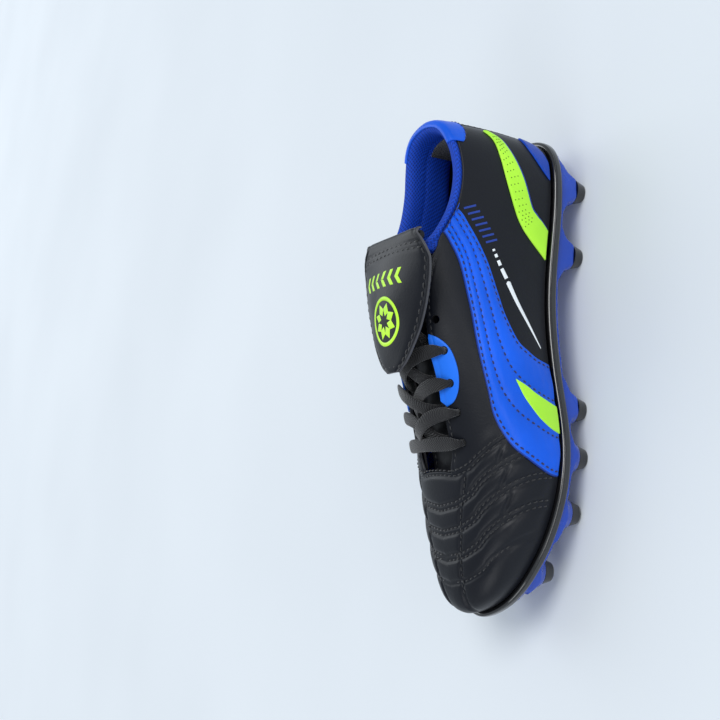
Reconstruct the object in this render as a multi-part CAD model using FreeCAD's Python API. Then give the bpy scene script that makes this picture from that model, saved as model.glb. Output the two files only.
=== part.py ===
import FreeCAD, Part
import math
import os

# Soccer cleat, left foot, size 34.  Millimetres.
# +Z up from the ground, +Y toward the toe, +X toward the inner (medial) side of the foot.
# z = 0 is the plane the heel and ball stud tips stand on; x = 0, y = 0 is the middle of the sole.

# ---- sole sizes ----
LENGTH = 236.0            # sole rim, heel to toe
BALL_WIDTH = 79.5         # sole rim across the ball of the foot
RIM_HEIGHT = 4.9          # glossy rim, seen from the side
RIM_STEP = 2.6            # how far the rim stands out past the upper's lower edge
PLATE_THICK = 2.0         # stud plate between the studs
PLATE_INSET = 1.6         # plate edge inside the rim edge
BOARD_THICK = 1.6         # insole board
FOAM_THICK = 3.2          # sockliner foam
COVER_THICK = 1.0         # sockliner textile cover
COVER_BORDER = 1.2        # cover edge inside the foam edge

# ---- studs ----
TIP_HEIGHT = 5.5          # hard tip on each stud
TIP_RADIUS = 3.8          # flat end of the tip
STUD_RADIUS = 5.5         # stud where the tip begins
TIP_STEP = 0.2            # tip inside the stud's edge
FOOT_SINK = 0.4           # studs and webs end this far below the plate's top
WEB_RISE = 3.5            # clearance between a web and the tips
STUD_FLARE = 0.42         # growth of the stud radius per mm of height
WEB_WIDTH = 5.0           # rib that ties two studs of a pair together

# ---- upper layers ----
SKIN = 1.1                # outer leather
STIFFENER = 0.8           # toe puff and heel counter
LINING = 1.2              # textile lining
OVERLAY = 0.8             # bands and stripes sewn on the skin
TRIM = 0.5                # small pieces sewn on an overlay
PLY_GAP = 0.15            # glue or stitch line between layers
SOLE_GAP = 0.3            # upper edge above the rim

# ---- collar ----
ROLL_RADIUS = 3.0         # padded roll round the foot opening
ROLL_LIFT = 0.9           # roll above the padded band
COLLAR_FOAM = 3.0         # foam band under the roll
COLLAR_MESH = 1.1         # mesh over the foam
COLLAR_DEPTH = 22.0       # height of the padded band

# ---- tongue and fold-over flap ----
TONGUE_THICK = 3.0
TONGUE_LINING = 1.1
FLAP_THICK = 1.2
FLAP_BACKING = 0.8
HEM_RADIUS = 2.2          # rolled top edge of the tongue, on the fold axis
HEM_HALF = 22.0           # half of the hem's length
FOLD_Y = -52.0            # fold axis, along X
FOLD_Z = 92.3
FOLD_GAP = 0.3            # flap above the hem
BADGE_RADIUS = 11.6
BADGE_THICK = 0.5

# ---- lace and eyelets ----
LACE_RADIUS = 1.2         # lace gathered to a round section
HOLE_RADIUS = 2.2         # punched eyelet
LACE_GAP = 0.3
AGLET_LENGTH = 12.0
AGLET_GAP = 0.15

# ---- shapes given as shares of length and ball width ----
LATERAL = [(0, -.5), (-.178, -.4853), (-.290, -.443), (-.335, -.373), (-.338, -.262), (-.345, -.148),
           (-.393, -.034), (-.465, .085), (-.512, .192), (-.478, .303), (-.372, .400), (-.190, .4735),
           (.035, .5)]
MEDIAL = [(0, -.5), (.178, -.4853), (.290, -.443), (.332, -.373), (.325, -.262), (.318, -.148),
          (.352, -.034), (.420, .085), (.478, .190), (.490, .280), (.452, .365), (.345, .440),
          (.200, .4868), (.035, .5)]
# y, height of the upper's lower edge
FEATHER = [(-118, 21), (-80, 20.5), (-30, 21.5), (0, 20.5), (30, 18), (55, 18.5), (80, 21.5),
           (100, 26), (118, 31)]
# y, height of the crest line of the closed upper
RIDGE = [(-118, 128), (-84, 118), (-66, 107), (-50, 99), (-25, 90), (0, 81), (25, 71), (50, 62),
         (75, 54.5), (100, 48)]
# y, x of the crest line
CREST_X = [(-118, 0), (-86, 0), (-40, -.6), (0, -1.5), (40, -1), (80, 2.5), (118, 3)]
# y, side bulge, height of the bulge, width of the top (shares)
BULGE_LATERAL = [(-118, .12, .34, 1.05), (-86, .30, .34, 1.14), (-50, .36, .46, 1.16),
                 (-20, .46, .52, 1.06), (5, .44, .55, .96), (35, .30, .56, .86), (60, .20, .58, .80),
                 (85, .16, .60, .76), (118, .12, .62, .74)]
BULGE_MEDIAL = [(-118, .12, .34, 1.05), (-86, .28, .34, 1.12), (-50, .36, .46, 1.12),
                (-20, .50, .50, 1.02), (5, .42, .52, .94), (35, .24, .55, .86), (60, .18, .58, .80),
                (85, .14, .60, .76), (118, .12, .62, .74)]
CREST_BACK = -86.0        # the crest line ends here over the heel
CREST_FRONT = 80.0        # and here over the toes
CREST_SOFT = 9.0
# y, top of the collar
COLLAR_TOP = [(-118, 79.5), (-108, 78), (-95, 75.5), (-83, 74.5), (-69, 76.5), (-57, 81.5), (-49, 87)]
COLLAR_FRONT = -54.0      # the roll ends here on both sides
# y, half width of the throat
THROAT = [(-56, 25), (-46, 22), (-36, 19.5), (-22, 17), (0, 15.5), (20, 15), (52, 15)]
VAMP_SEAM = 52.0          # y where the quarters meet the vamp
TOP_MARGIN = 0.008        # overlays end this far below a quarter's top edge, as a share
# eyelets from the top one down: y, share of the way up the side
EYELETS = [(-15.5, .694), (-1.5, .684), (13.0, .703), (26.0, .713), (39.5, .723)]
# band edges as (y, share of the way up), from the collar down to the sole
BAND_FRONT = [(-56.6, .545), (-51, .530), (-41, .496), (-23, .476), (-7, .478), (14, .477),
              (27.5, .465), (38.5, .382), (45, .25), (50, .10), (51, .012)]
BAND_REAR = [(-67, .455), (-61, .420), (-53.9, .378), (-43.5, .329), (-30.4, .288), (-21, .262),
             (-9.8, .207), (-5.6, .150), (-3, .10), (-1.8, .05), (-1, .012)]
WEDGE_UPPER = [(9.3, .276), (11.5, .220), (14.5, .164), (17.2, .09), (19.2, .02)]
WEDGE_LOWER = [(10.3, .276), (17.7, .245), (25.3, .173), (29.8, .09), (31.8, .02)]
STRIPE_FRONT = [(-109.5, .345), (-104.9, .309), (-96.5, .291), (-85.2, .269), (-72.2, .226),
                (-65, .184), (-59.3, .120), (-52.5, .015)]
STRIPE_REAR = [(-109.5, .322), (-106, .270), (-101.5, .246), (-89.1, .192), (-76.5, .146),
               (-72.5, .105), (-70.4, .068), (-67, .015)]
LEAF_FRONT = [(-112, .125), (-106, .115), (-100, .085), (-95.5, .05), (-92.5, .015)]
LEAF_REAR = [(-112, .115), (-110, .065), (-107, .040), (-104, .024), (-101.5, .015)]
PATCH_OUTER = [(-9, .765), (-7, .70), (-3, .645), (3, .625), (9.5, .63), (16, .66), (21, .71), (23.5, .77)]
PATCH_INNER = [(-7.5, .80), (-3, .795), (1, .79), (5, .788), (9, .79), (13, .795), (17, .80), (21, .81)]
# y, half width and crest height of the flap
FLAP_WIDTH = [(-52, 29), (-40, 30), (-26, 28), (-12, 23), (-2, 17), (5, 11), (9, 5)]
FLAP_MIDDLE = [(-52, -6), (-30, -3), (-10, -2), (9, -4)]
FLAP_CREST = [(-52, 94.8), (-40, 95.2), (-25, 94.2), (-8, 91.2), (9, 87.8)]
FLAP_DROOP = [(-52, 0), (-40, .0045), (-25, .0085), (-8, .011), (9, .011)]
# studs: x, y, height of the tip above the ground
STUDS = [(-20, -91, 0), (-20.5, -58, 0), (20, -91, 0), (19.5, -58, 0),
         (-29.5, 18, 0), (-32, 41, 0), (-29.5, 67, .8), (-19, 94.5, 6.6),
         (24.5, 20, 0), (29.5, 45, 0), (28.5, 71, .8), (20.5, 96, 6.6)]
STUD_PAIRS = [(0, 2), (1, 3), (5, 9), (6, 10)]


def curve_through(points, start, end):
    """Smooth curve through points; start and end are its end directions.  Takes 0..1."""
    n = len(points)
    u = [0.0]
    for a, b in zip(points, points[1:]):
        u.append(u[-1] + math.dist(a, b))
    total = u[-1]
    u = [v / total for v in u]
    h = [u[i + 1] - u[i] for i in range(n - 1)]
    axes = []
    for k in range(2):
        y = [p[k] for p in points]
        low, mid, up, rhs = [0.0] * n, [0.0] * n, [0.0] * n, [0.0] * n
        mid[0], up[0], rhs[0] = 2 * h[0], h[0], 6 * ((y[1] - y[0]) / h[0] - start[k])
        low[-1], mid[-1], rhs[-1] = h[-1], 2 * h[-1], 6 * (end[k] - (y[-1] - y[-2]) / h[-1])
        for i in range(1, n - 1):
            low[i], mid[i], up[i] = h[i - 1], 2 * (h[i - 1] + h[i]), h[i]
            rhs[i] = 6 * ((y[i + 1] - y[i]) / h[i] - (y[i] - y[i - 1]) / h[i - 1])
        for i in range(1, n):
            m = low[i] / mid[i - 1]
            mid[i] -= m * up[i - 1]
            rhs[i] -= m * rhs[i - 1]
        bend = [0.0] * n
        bend[-1] = rhs[-1] / mid[-1]
        for i in range(n - 2, -1, -1):
            bend[i] = (rhs[i] - up[i] * bend[i + 1]) / mid[i]
        axes.append((y, bend))

    def at(x):
        x = min(1.0, max(0.0, x))
        i = 0
        while i < n - 2 and x > u[i + 1]:
            i += 1
        a = (u[i + 1] - x) / h[i]
        b = 1 - a
        return [a * y[i] + b * y[i + 1] + ((a ** 3 - a) * m[i] + (b ** 3 - b) * m[i + 1]) * h[i] ** 2 / 6
                for y, m in axes]
    return at


def table(rows, scale=1.0):
    """Smooth lookup in rows of (key, value, ...); keys are multiplied by scale."""
    keys = [r[0] * scale for r in rows]
    n = len(rows)

    def slope(j, k):
        a, b = max(0, j - 1), min(n - 1, j + 1)
        return (rows[b][k] - rows[a][k]) / (keys[b] - keys[a])

    def at(x):
        x = min(keys[-1], max(keys[0], x))
        i = 0
        while i < n - 2 and x > keys[i + 1]:
            i += 1
        h = keys[i + 1] - keys[i]
        t = (x - keys[i]) / h
        out = []
        for k in range(1, len(rows[0])):
            out.append((2 * t ** 3 - 3 * t * t + 1) * rows[i][k] + (t ** 3 - 2 * t * t + t) * slope(i, k) * h
                       + (3 * t * t - 2 * t ** 3) * rows[i + 1][k] + (t ** 3 - t * t) * slope(i + 1, k) * h)
        return out if len(out) > 1 else out[0]
    return at


LONG = LENGTH / 236.0     # lengthwise scale of every y given above


def share_curve(shares):
    points = [(x * BALL_WIDTH, y * LENGTH) for x, y in shares]
    side = 1 if points[2][0] > 0 else -1
    reach = 0.8 * LENGTH
    return curve_through(points, (side * reach, 0), (-side * reach, 0))


OUTLINE = {-1: share_curve(LATERAL), 1: share_curve(MEDIAL)}
BULGE = {-1: table(BULGE_LATERAL, LONG), 1: table(BULGE_MEDIAL, LONG)}
feather_z = table(FEATHER, LONG)
ridge_z = table(RIDGE, LONG)
crest_x = table(CREST_X, LONG)
collar_z = table(COLLAR_TOP, LONG)
throat_half = table(THROAT, LONG)


def crest_y(y):
    """y on the crest line that belongs to a point of the outline."""
    def ramp(v):
        return CREST_SOFT * math.log1p(math.exp(v / CREST_SOFT))
    back, front = CREST_BACK * LONG, CREST_FRONT * LONG
    return back + ramp(y - back) - ramp(y - front)


def outline(side, s, inset):
    """Point of the sole outline, moved inward by inset."""
    curve = OUTLINE[side]
    x, y = curve(s)
    a, b = curve(max(0.0, s - 1e-3)), curve(min(1.0, s + 1e-3))
    if s < 1e-3:
        a = [-b[0], b[1]]
    if s > 1 - 1e-3:
        b = [2 * x - a[0], a[1]]
    tx, ty = b[0] - a[0], b[1] - a[1]
    size = math.hypot(tx, ty)
    return x - side * inset * ty / size, y + side * inset * tx / size


def skin(side, s, t):
    """Outer surface of the upper: s runs heel to toe, t from the sole edge to the crest."""
    bx, by = outline(side, s, RIM_STEP)
    cy = crest_y(by)
    cx = crest_x(cy)
    low, top = feather_z(by), ridge_z(cy)
    fall = (ridge_z(cy + 1) - ridge_z(cy - 1)) / 2
    bulge, lift, wide = BULGE[side](by)
    dx, dy = bx - cx, by - cy
    poles = [(bx, by, low),
             (cx + dx * (1 + bulge), cy + dy * (1 + bulge), low + lift * (top - low)),
             (cx + dx * wide, cy + dy * wide, top + fall * dy * wide),
             (cx, cy, top)]
    share = ((1 - t) ** 3, 3 * (1 - t) ** 2 * t, 3 * (1 - t) * t * t, t ** 3)
    return [sum(w * p[k] for w, p in zip(share, poles)) for k in range(3)]


def normal(side, s, t):
    """Outward unit normal of the skin."""
    step = 1e-3
    t = min(t, .985)
    a = skin(side, s - step, t) if s > step else skin(-side, step, t)
    b = skin(side, s + step, t) if s < 1 - step else skin(-side, 1 - step, t)
    u = [q - p for p, q in zip(a, b)]
    a, b = skin(side, s, max(0.0, t - step)), skin(side, s, t + step)
    v = [q - p for p, q in zip(a, b)]
    n = [u[1] * v[2] - u[2] * v[1], u[2] * v[0] - u[0] * v[2], u[0] * v[1] - u[1] * v[0]]
    size = math.sqrt(sum(c * c for c in n)) * side
    return [c / size for c in n]


def crest_normal(s):
    """Normal on the crest line: no sideways lean."""
    cy = crest_y(outline(-1, s, RIM_STEP)[1])
    fall = (ridge_z(cy + 1) - ridge_z(cy - 1)) / 2
    size = math.hypot(1, fall)
    return [0.0, -fall / size, 1 / size]


def point(side, s, t, off):
    """Point at a distance off the skin (outward is positive)."""
    p, n = skin(side, s, t), normal(side, s, t)
    if t > .9:
        c = crest_normal(s)
        w = (t - .9) / .1
        n = [(1 - w) * a + w * b for a, b in zip(n, c)]
        size = math.sqrt(sum(a * a for a in n))
        n = [a / size for a in n]
    return FreeCAD.Vector(*[p[k] + off * n[k] for k in range(3)])


def bisect(test, low, high):
    """Largest value for which test still holds."""
    for _ in range(30):
        mid = (low + high) / 2
        if test(mid):
            low = mid
        else:
            high = mid
    return low


def s_at(side, y):
    """Place on the outline with this y (measured on the upper's lower edge)."""
    return bisect(lambda s: outline(side, s, RIM_STEP)[1] < y, 0.0, 1.0)


def t_at_height(side, s, z):
    return bisect(lambda t: skin(side, s, t)[2] < z, 0.0, 1.0)


def t_at_half(side, s, half):
    """Share of the way up where the skin is this far from the crest line, sideways."""
    cx = crest_x(crest_y(outline(side, s, RIM_STEP)[1]))
    return bisect(lambda t: abs(skin(side, s, t)[0] - cx) > half, .45, 1.0)


def smooth(x):
    x = min(1.0, max(0.0, x))
    return x * x * (3 - 2 * x)


def quarter_top(side, s):
    """Upper edge of a quarter: under the collar roll at the back, along the throat in front."""
    y = outline(side, s, RIM_STEP)[1]
    back = t_at_height(side, s, collar_z(y) - 2 * ROLL_RADIUS - SOLE_GAP)
    front = t_at_half(side, s, throat_half(y))
    w = smooth((y - (COLLAR_FRONT - 2) * LONG) / (8 * LONG))
    return (1 - w) * back + w * front


# ---- solids from grids of points ----
def basis(count, x):
    """Cubic basis values at x for a curve through count points at 0, 1, 2, ..."""
    knots = [0] * 4 + list(range(1, count - 1)) + [count - 1] * 4
    x = min(x, count - 1 - 1e-12)
    values = [1.0 if knots[j] <= x < knots[j + 1] else 0.0 for j in range(len(knots) - 1)]
    for degree in range(1, 4):
        upper = []
        for j in range(len(values) - 1):
            left = right = 0.0
            if knots[j + degree] > knots[j]:
                left = (x - knots[j]) / (knots[j + degree] - knots[j]) * values[j]
            if knots[j + degree + 1] > knots[j + 1]:
                right = (knots[j + degree + 1] - x) / (knots[j + degree + 1] - knots[j + 1]) * values[j + 1]
            upper.append(left + right)
        values = upper
    return values


def solver(count):
    """Matrix that turns count points into the poles of a smooth curve through them."""
    size = count + 2
    rows = [[1, -1.5, .5] + [0.0] * (size - 3)]
    rows += [basis(count, i) for i in range(count)]
    rows += [[0.0] * (size - 3) + [.5, -1.5, 1]]
    work = [row + [1.0 if i == j else 0.0 for j in range(size)] for i, row in enumerate(rows)]
    for c in range(size):
        best = max(range(c, size), key=lambda r: abs(work[r][c]))
        work[c], work[best] = work[best], work[c]
        pivot = work[c][c]
        work[c] = [v / pivot for v in work[c]]
        for r in range(size):
            if r != c and work[r][c]:
                factor = work[r][c]
                work[r] = [a - factor * b for a, b in zip(work[r], work[c])]
    return [row[size + 1:2 * size - 1] for row in work]


SOLVERS = {}


def poles_through(points):
    count = len(points)
    if count not in SOLVERS:
        SOLVERS[count] = solver(count)
    out = []
    for row in SOLVERS[count]:
        total = FreeCAD.Vector(0, 0, 0)
        for w, p in zip(row, points):
            total += p * w
        out.append(total)
    return out


def face_over(grid):
    """Smooth face through a grid, with its four edges by name."""
    across = [poles_through(line) for line in grid]
    poles = list(zip(*[poles_through(list(line)) for line in zip(*across)]))
    nu, nv = len(grid), len(grid[0])
    smooth_face = Part.BSplineSurface()
    smooth_face.buildFromPolesMultsKnots([list(p) for p in poles],
                                         [4] + [1] * (nu - 2) + [4], [4] + [1] * (nv - 2) + [4],
                                         list(range(nu)), list(range(nv)), False, False, 3, 3)
    face = smooth_face.toShape()
    marks = {"start": grid[0][nv // 2], "end": grid[-1][nv // 2],
             "low": grid[nu // 2][0], "high": grid[nu // 2][-1]}
    edges = {}
    for name, mark in marks.items():
        edges[name] = min(face.Edges, key=lambda e: e.distToShape(Part.Vertex(mark))[0])
    return face, edges


def sew(faces):
    shell = Part.makeShell(faces)
    shell.sewShape()
    if shell.ShapeType != "Shell":
        shell = shell.Shells[0]
    solid = Part.makeSolid(shell)
    if solid.Volume < 0:
        solid.reverse()
    return solid


def slab(outer, inner):
    """Closed solid between two grids of the same size."""
    (top, top_edges), (bottom, bottom_edges) = face_over(outer), face_over(inner)
    walls = [Part.makeRuledSurface(top_edges[k], bottom_edges[k]) for k in top_edges]
    return sew([top, bottom] + walls)


def patch(columns, inner, outer):
    """Solid over columns of (side, s, t) places, between two distances from the skin."""
    grids = [[[point(*place, off) for place in column] for column in columns] for off in (outer, inner)]
    return slab(*grids)


def between(side, low, high, span, steps, rows=9):
    """Columns from edge low(side, s) to edge high(side, s) for s over span."""
    s0, s1 = span
    out = []
    for i in range(steps + 1):
        s = s0 + (s1 - s0) * i / steps
        a, b = low(side, s), high(side, s)
        out.append([(side, s, a + (b - a) * j / rows) for j in range(rows + 1)])
    return out


def ribbon(side, front, rear, steps=20, rows=7):
    """Columns of a strip given by two edges of (y, t) points, on either side of the shoe."""
    def line(edge):
        return table([(i / (len(edge) - 1), y * LONG, t) for i, (y, t) in enumerate(edge)])
    f, r = line(front), line(rear)
    out = []
    for i in range(steps + 1):
        (ya, ta), (yb, tb) = f(i / steps), r(i / steps)
        sa, sb = s_at(side, ya), s_at(side, yb)
        ta, tb = min(ta, quarter_top(side, sa) - TOP_MARGIN), min(tb, quarter_top(side, sb) - TOP_MARGIN)
        out.append([(side, sa + (sb - sa) * j / rows, ta + (tb - ta) * j / rows) for j in range(rows + 1)])
    return out


def wrap(reach, low, high, steps=14, rows=6):
    """Columns round the heel, from the inner side to the outer side, as far as y = reach."""
    inner, outer = [between(side, low, high, (0.0, s_at(side, reach * LONG)), steps, rows) for side in (1, -1)]
    return inner[:0:-1] + outer


def over(y0, y1, half, steps=24, rows=7):
    """Columns across the crest line from y0 to y1; half(side, s) is the lowest t."""
    out = []
    for i in range(steps + 1):
        y = (y0 + (y1 - y0) * i / steps) * LONG
        sa, sb = s_at(-1, y), s_at(1, y)
        a, b = half(-1, sa), half(1, sb)
        left = [(-1, sa, a + (1 - a) * j / rows) for j in range(rows + 1)]
        right = [(1, sb, 1 - (1 - b) * j / rows) for j in range(1, rows + 1)]
        out.append(left + right)
    return out


def cap(y0, inner, outer, low=0.0, steps=24, rows=12):
    """Toe part of one layer: two halves that share the crest line and the toe line."""
    start = s_at(-1, y0 * LONG)
    places = {-1: [start + (1 - start) * i / steps for i in range(steps + 1)]}
    places[1] = [s_at(1, outline(-1, s, RIM_STEP)[1]) for s in places[-1][:-1]] + [1.0]
    heights = [low + (1 - low) * j / rows for j in range(rows + 1)]
    faces = []
    for side in (-1, 1):
        halves = []
        for off in (outer, inner):
            grid = [[point(side, s, t, off) for t in heights] for s in places[side]]
            for i, s in enumerate(places[-1]):
                c, n = skin(-1, s, 1.0), crest_normal(s)
                grid[i][-1] = FreeCAD.Vector(*[c[k] + off * n[k] for k in range(3)])
            for j, t in enumerate(heights[:-1]):
                grid[-1][j] = (point(-1, 1.0, t, off) + point(1, 1.0, t, off)) * .5
            halves.append(face_over(grid))
        faces += [halves[0][0], halves[1][0]]
        faces += [Part.makeRuledSurface(halves[0][1][k], halves[1][1][k]) for k in ("start", "low")]
    return sew(faces)


def prism(inset, low, high):
    """Sole layer: the outline moved in by inset, between two heights that follow the upper's edge."""
    steps = 40
    left = [outline(-1, i / steps, inset) for i in range(steps + 1)]
    right = [outline(1, i / steps, inset) for i in range(steps + 1)]
    loop = left + right[-2:0:-1]
    curve = Part.BSplineCurve()
    curve.interpolate([FreeCAD.Vector(x, y, -20) for x, y in loop], PeriodicFlag=True)
    column = Part.Face(Part.Wire([curve.toShape()])).extrude(FreeCAD.Vector(0, 0, 80))
    ys = [(-130 + 260 * i / 26) * LONG for i in range(27)]
    edges = []
    for level in (low, high):
        profile = Part.BSplineCurve()
        profile.interpolate([FreeCAD.Vector(-100, y, feather_z(y) + level) for y in ys])
        edges.append(profile.toShape())
    ends = [Part.makeLine(FreeCAD.Vector(-100, y, feather_z(y) + low), FreeCAD.Vector(-100, y, feather_z(y) + high))
            for y in (ys[0], ys[-1])]
    side = Part.Face(Part.Wire(Part.__sortEdges__(edges + ends))).extrude(FreeCAD.Vector(200, 0, 0))
    return column.common(side)


parts = {}

# ---- sole, from the ground up ----
RIM_TOP = -SOLE_GAP
RIM_LOW = RIM_TOP - RIM_HEIGHT
PLATE_TOP = RIM_LOW - PLY_GAP
PLATE_LOW = PLATE_TOP - PLATE_THICK
BOARD_LOW = PLY_GAP - SOLE_GAP
FOAM_LOW = BOARD_LOW + BOARD_THICK + PLY_GAP
COVER_LOW = FOAM_LOW + FOAM_THICK + PLY_GAP
BOARD_INSET = RIM_STEP + SKIN + STIFFENER + LINING + 3 * PLY_GAP + .6

parts["sole_rim"] = prism(0.0, RIM_LOW, RIM_TOP)
parts["insole_board"] = prism(BOARD_INSET, BOARD_LOW, BOARD_LOW + BOARD_THICK)
parts["sockliner_foam"] = prism(BOARD_INSET + .5, FOAM_LOW, FOAM_LOW + FOAM_THICK)
parts["sockliner_cover"] = prism(BOARD_INSET + .5 + COVER_BORDER, COVER_LOW, COVER_LOW + COVER_THICK)

plate = prism(PLATE_INSET, PLATE_LOW, PLATE_TOP)
studs = []
for number, (x, y, tip) in enumerate(STUDS):
    x, y = x * BALL_WIDTH / 79.5, y * LONG
    foot = tip + TIP_HEIGHT + PLY_GAP
    rise = feather_z(y) + PLATE_TOP - FOOT_SINK - foot
    studs.append(Part.makeCone(STUD_RADIUS, STUD_RADIUS + STUD_FLARE * rise, rise, FreeCAD.Vector(x, y, foot)))
    end = Part.makeCone(TIP_RADIUS, STUD_RADIUS - TIP_STEP, TIP_HEIGHT, FreeCAD.Vector(x, y, tip))
    parts["stud_tip_%02d" % (number + 1)] = end
for a, b in STUD_PAIRS:
    (xa, ya, za), (xb, yb, zb) = STUDS[a], STUDS[b]
    xa, ya, xb, yb = xa * BALL_WIDTH / 79.5, ya * LONG, xb * BALL_WIDTH / 79.5, yb * LONG
    span = math.dist((xa, ya), (xb, yb))
    top = min(feather_z(ya), feather_z(yb)) + PLATE_TOP - FOOT_SINK
    low = max(za, zb) + TIP_HEIGHT + WEB_RISE
    web = Part.makeBox(span, WEB_WIDTH, top - low, FreeCAD.Vector(0, -WEB_WIDTH / 2, 0))
    web.rotate(FreeCAD.Vector(0, 0, 0), FreeCAD.Vector(0, 0, 1), math.degrees(math.atan2(yb - ya, xb - xa)))
    web.translate(FreeCAD.Vector(xa, ya, low))
    studs.append(web)
room = prism(PLATE_INSET - .6, PLATE_LOW - 40, PLATE_TOP - PLATE_THICK / 2)
feet = studs[0].multiFuse(studs[1:]).common(room)
parts["outsole_plate"] = plate.fuse(feet)


# ---- upper ----
def ground(side, s):
    return 0.0


def layer(first, thickness):
    """Distances of a layer whose outer face lies at first."""
    return first - thickness, first


SKIN_IN = -SKIN
STIFF = layer(SKIN_IN - PLY_GAP, STIFFENER)
LINE = layer(STIFF[0] - PLY_GAP, LINING)
SEWN = (PLY_GAP, PLY_GAP + OVERLAY)
SEWN_TRIM = (SEWN[1] + PLY_GAP, SEWN[1] + PLY_GAP + TRIM)
BACK_SEAM = 0.004
NAMES = {-1: "lateral", 1: "medial"}

for side, name in NAMES.items():
    reach = (BACK_SEAM, s_at(side, (VAMP_SEAM - .2) * LONG))
    parts["quarter_" + name] = patch(between(side, ground, quarter_top, reach, 44), SKIN_IN, 0.0)
    front = (s_at(side, (COLLAR_FRONT + 1) * LONG), reach[1])
    parts["quarter_lining_" + name] = patch(between(side, ground, quarter_top, front, 30), *LINE)
parts["vamp"] = cap(VAMP_SEAM + .2, SKIN_IN, 0.0)
parts["vamp_lining"] = cap(VAMP_SEAM + .2, *LINE)
parts["toe_puff"] = cap(88.0, *STIFF)


def at_height_under_roll(drop):
    def edge(side, s):
        y = outline(side, s, RIM_STEP)[1]
        return t_at_height(side, s, collar_z(y) - 2 * ROLL_RADIUS - SOLE_GAP - drop)
    return edge


parts["heel_counter"] = patch(wrap(-62, ground, at_height_under_roll(COLLAR_DEPTH + 3)), *STIFF)
parts["heel_lining"] = patch(wrap(COLLAR_FRONT, ground, at_height_under_roll(COLLAR_DEPTH + 1)), *LINE)
COLLAR_PAD = layer(SKIN_IN - PLY_GAP, COLLAR_FOAM)
parts["collar_foam"] = patch(wrap(COLLAR_FRONT - 1, at_height_under_roll(COLLAR_DEPTH), at_height_under_roll(0)),
                             *COLLAR_PAD)
COLLAR_FACE = layer(COLLAR_PAD[0] - PLY_GAP, COLLAR_MESH)
parts["collar_mesh"] = patch(wrap(COLLAR_FRONT - 1, at_height_under_roll(COLLAR_DEPTH), at_height_under_roll(0)),
                             *COLLAR_FACE)
GRIP = layer(COLLAR_FACE[0] - PLY_GAP, .7)
parts["heel_grip"] = patch(wrap(-108, at_height_under_roll(COLLAR_DEPTH - 2), at_height_under_roll(4), 5), *GRIP)
BACKSTAY_REACH = -114.5
parts["backstay"] = patch(wrap(BACKSTAY_REACH, lambda side, s: .02, at_height_under_roll(.5), 4), *SEWN)

for side, name in NAMES.items():
    parts["band_" + name] = patch(ribbon(side, BAND_FRONT, BAND_REAR), *SEWN)
    parts["band_wedge_" + name] = patch(ribbon(side, WEDGE_UPPER, WEDGE_LOWER, 10, 5), *SEWN_TRIM)
    parts["heel_stripe_" + name] = patch(ribbon(side, STRIPE_FRONT, STRIPE_REAR, 16, 5), *SEWN)
    parts["heel_leaf_" + name] = patch(ribbon(side, LEAF_FRONT, LEAF_REAR, 8, 4), *SEWN)
    parts["eyelet_patch_" + name] = patch(ribbon(side, PATCH_OUTER, PATCH_INNER, 14, 5), *SEWN)


# ---- cords and tubes ----
def sweep(points, radius):
    """Round cord through points: two half-round faces and two flat ends."""
    path = Part.BSplineCurve()
    path.interpolate(points)
    count = max(4, int(path.length() / 2.5))
    places = path.discretize(Number=count + 1)
    along = [path.tangent(path.parameter(p))[0] for p in places]
    across = along[0].cross(FreeCAD.Vector(0, 0, 1)).normalize()
    rings = []
    for p, tangent in zip(places, along):
        across = (across - tangent * across.dot(tangent)).normalize()
        other = tangent.cross(across)
        rings.append((p, across, other))
    faces, caps = [], {"start": [], "end": []}
    for first in (0, 180):
        angles = [math.radians(first + 22.5 * k) for k in range(9)]
        grid = [[p + (a * math.cos(w) + b * math.sin(w)) * radius for w in angles] for p, a, b in rings]
        face, edges = face_over(grid)
        faces.append(face)
        for name, loop in caps.items():
            loop.append(edges[name])
    return sew(faces + [Part.Face(Part.Wire(loop)) for loop in caps.values()])


def eased(points, passes=6):
    """The same path with its tight corners rounded."""
    path = Part.BSplineCurve()
    path.interpolate(points)
    fine = path.discretize(Number=int(path.length()) + 1)
    for _ in range(passes):
        inner = [(a + b * 2 + c) * .25 for a, b, c in zip(fine, fine[1:], fine[2:])]
        fine = [fine[0]] + inner + [fine[-1]]
    return fine[:-2:3] + [fine[-1]]


ROLL_DEPTH = -(SKIN + COLLAR_FOAM) / 2 - PLY_GAP
roll = []
roll_line = at_height_under_roll(-ROLL_RADIUS - ROLL_LIFT)
for places in wrap(COLLAR_FRONT - 4, roll_line, roll_line, 12, 1):
    roll.append(point(*places[0], ROLL_DEPTH))
parts["collar_roll"] = sweep(roll, ROLL_RADIUS)

# ---- tongue ----
LACE_RUN = LINE[0] - LACE_GAP - LACE_RADIUS           # lace centre where it runs under the eyestay
TONGUE = layer(LACE_RUN - LACE_RADIUS - 2 * LACE_GAP, TONGUE_THICK)
TONGUE_IN = layer(TONGUE[0] - PLY_GAP, TONGUE_LINING)


def tongue_edge(side, s):
    y = outline(side, s, RIM_STEP)[1]
    return t_at_half(side, s, throat_half(y) * .62 + 9)


TONGUE_BACK = FOLD_Y + HEM_RADIUS + 2.8
TONGUE_FRONT = 60.0
parts["tongue"] = patch(over(TONGUE_BACK, TONGUE_FRONT, tongue_edge), *TONGUE)
parts["tongue_lining"] = patch(over(TONGUE_BACK, TONGUE_FRONT, tongue_edge), *TONGUE_IN)
fold = FreeCAD.Vector(FLAP_MIDDLE[0][1], FOLD_Y * LONG, FOLD_Z)
parts["tongue_hem"] = Part.makeCylinder(HEM_RADIUS, 2 * HEM_HALF, fold - FreeCAD.Vector(HEM_HALF, 0, 0),
                                        FreeCAD.Vector(1, 0, 0))

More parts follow.
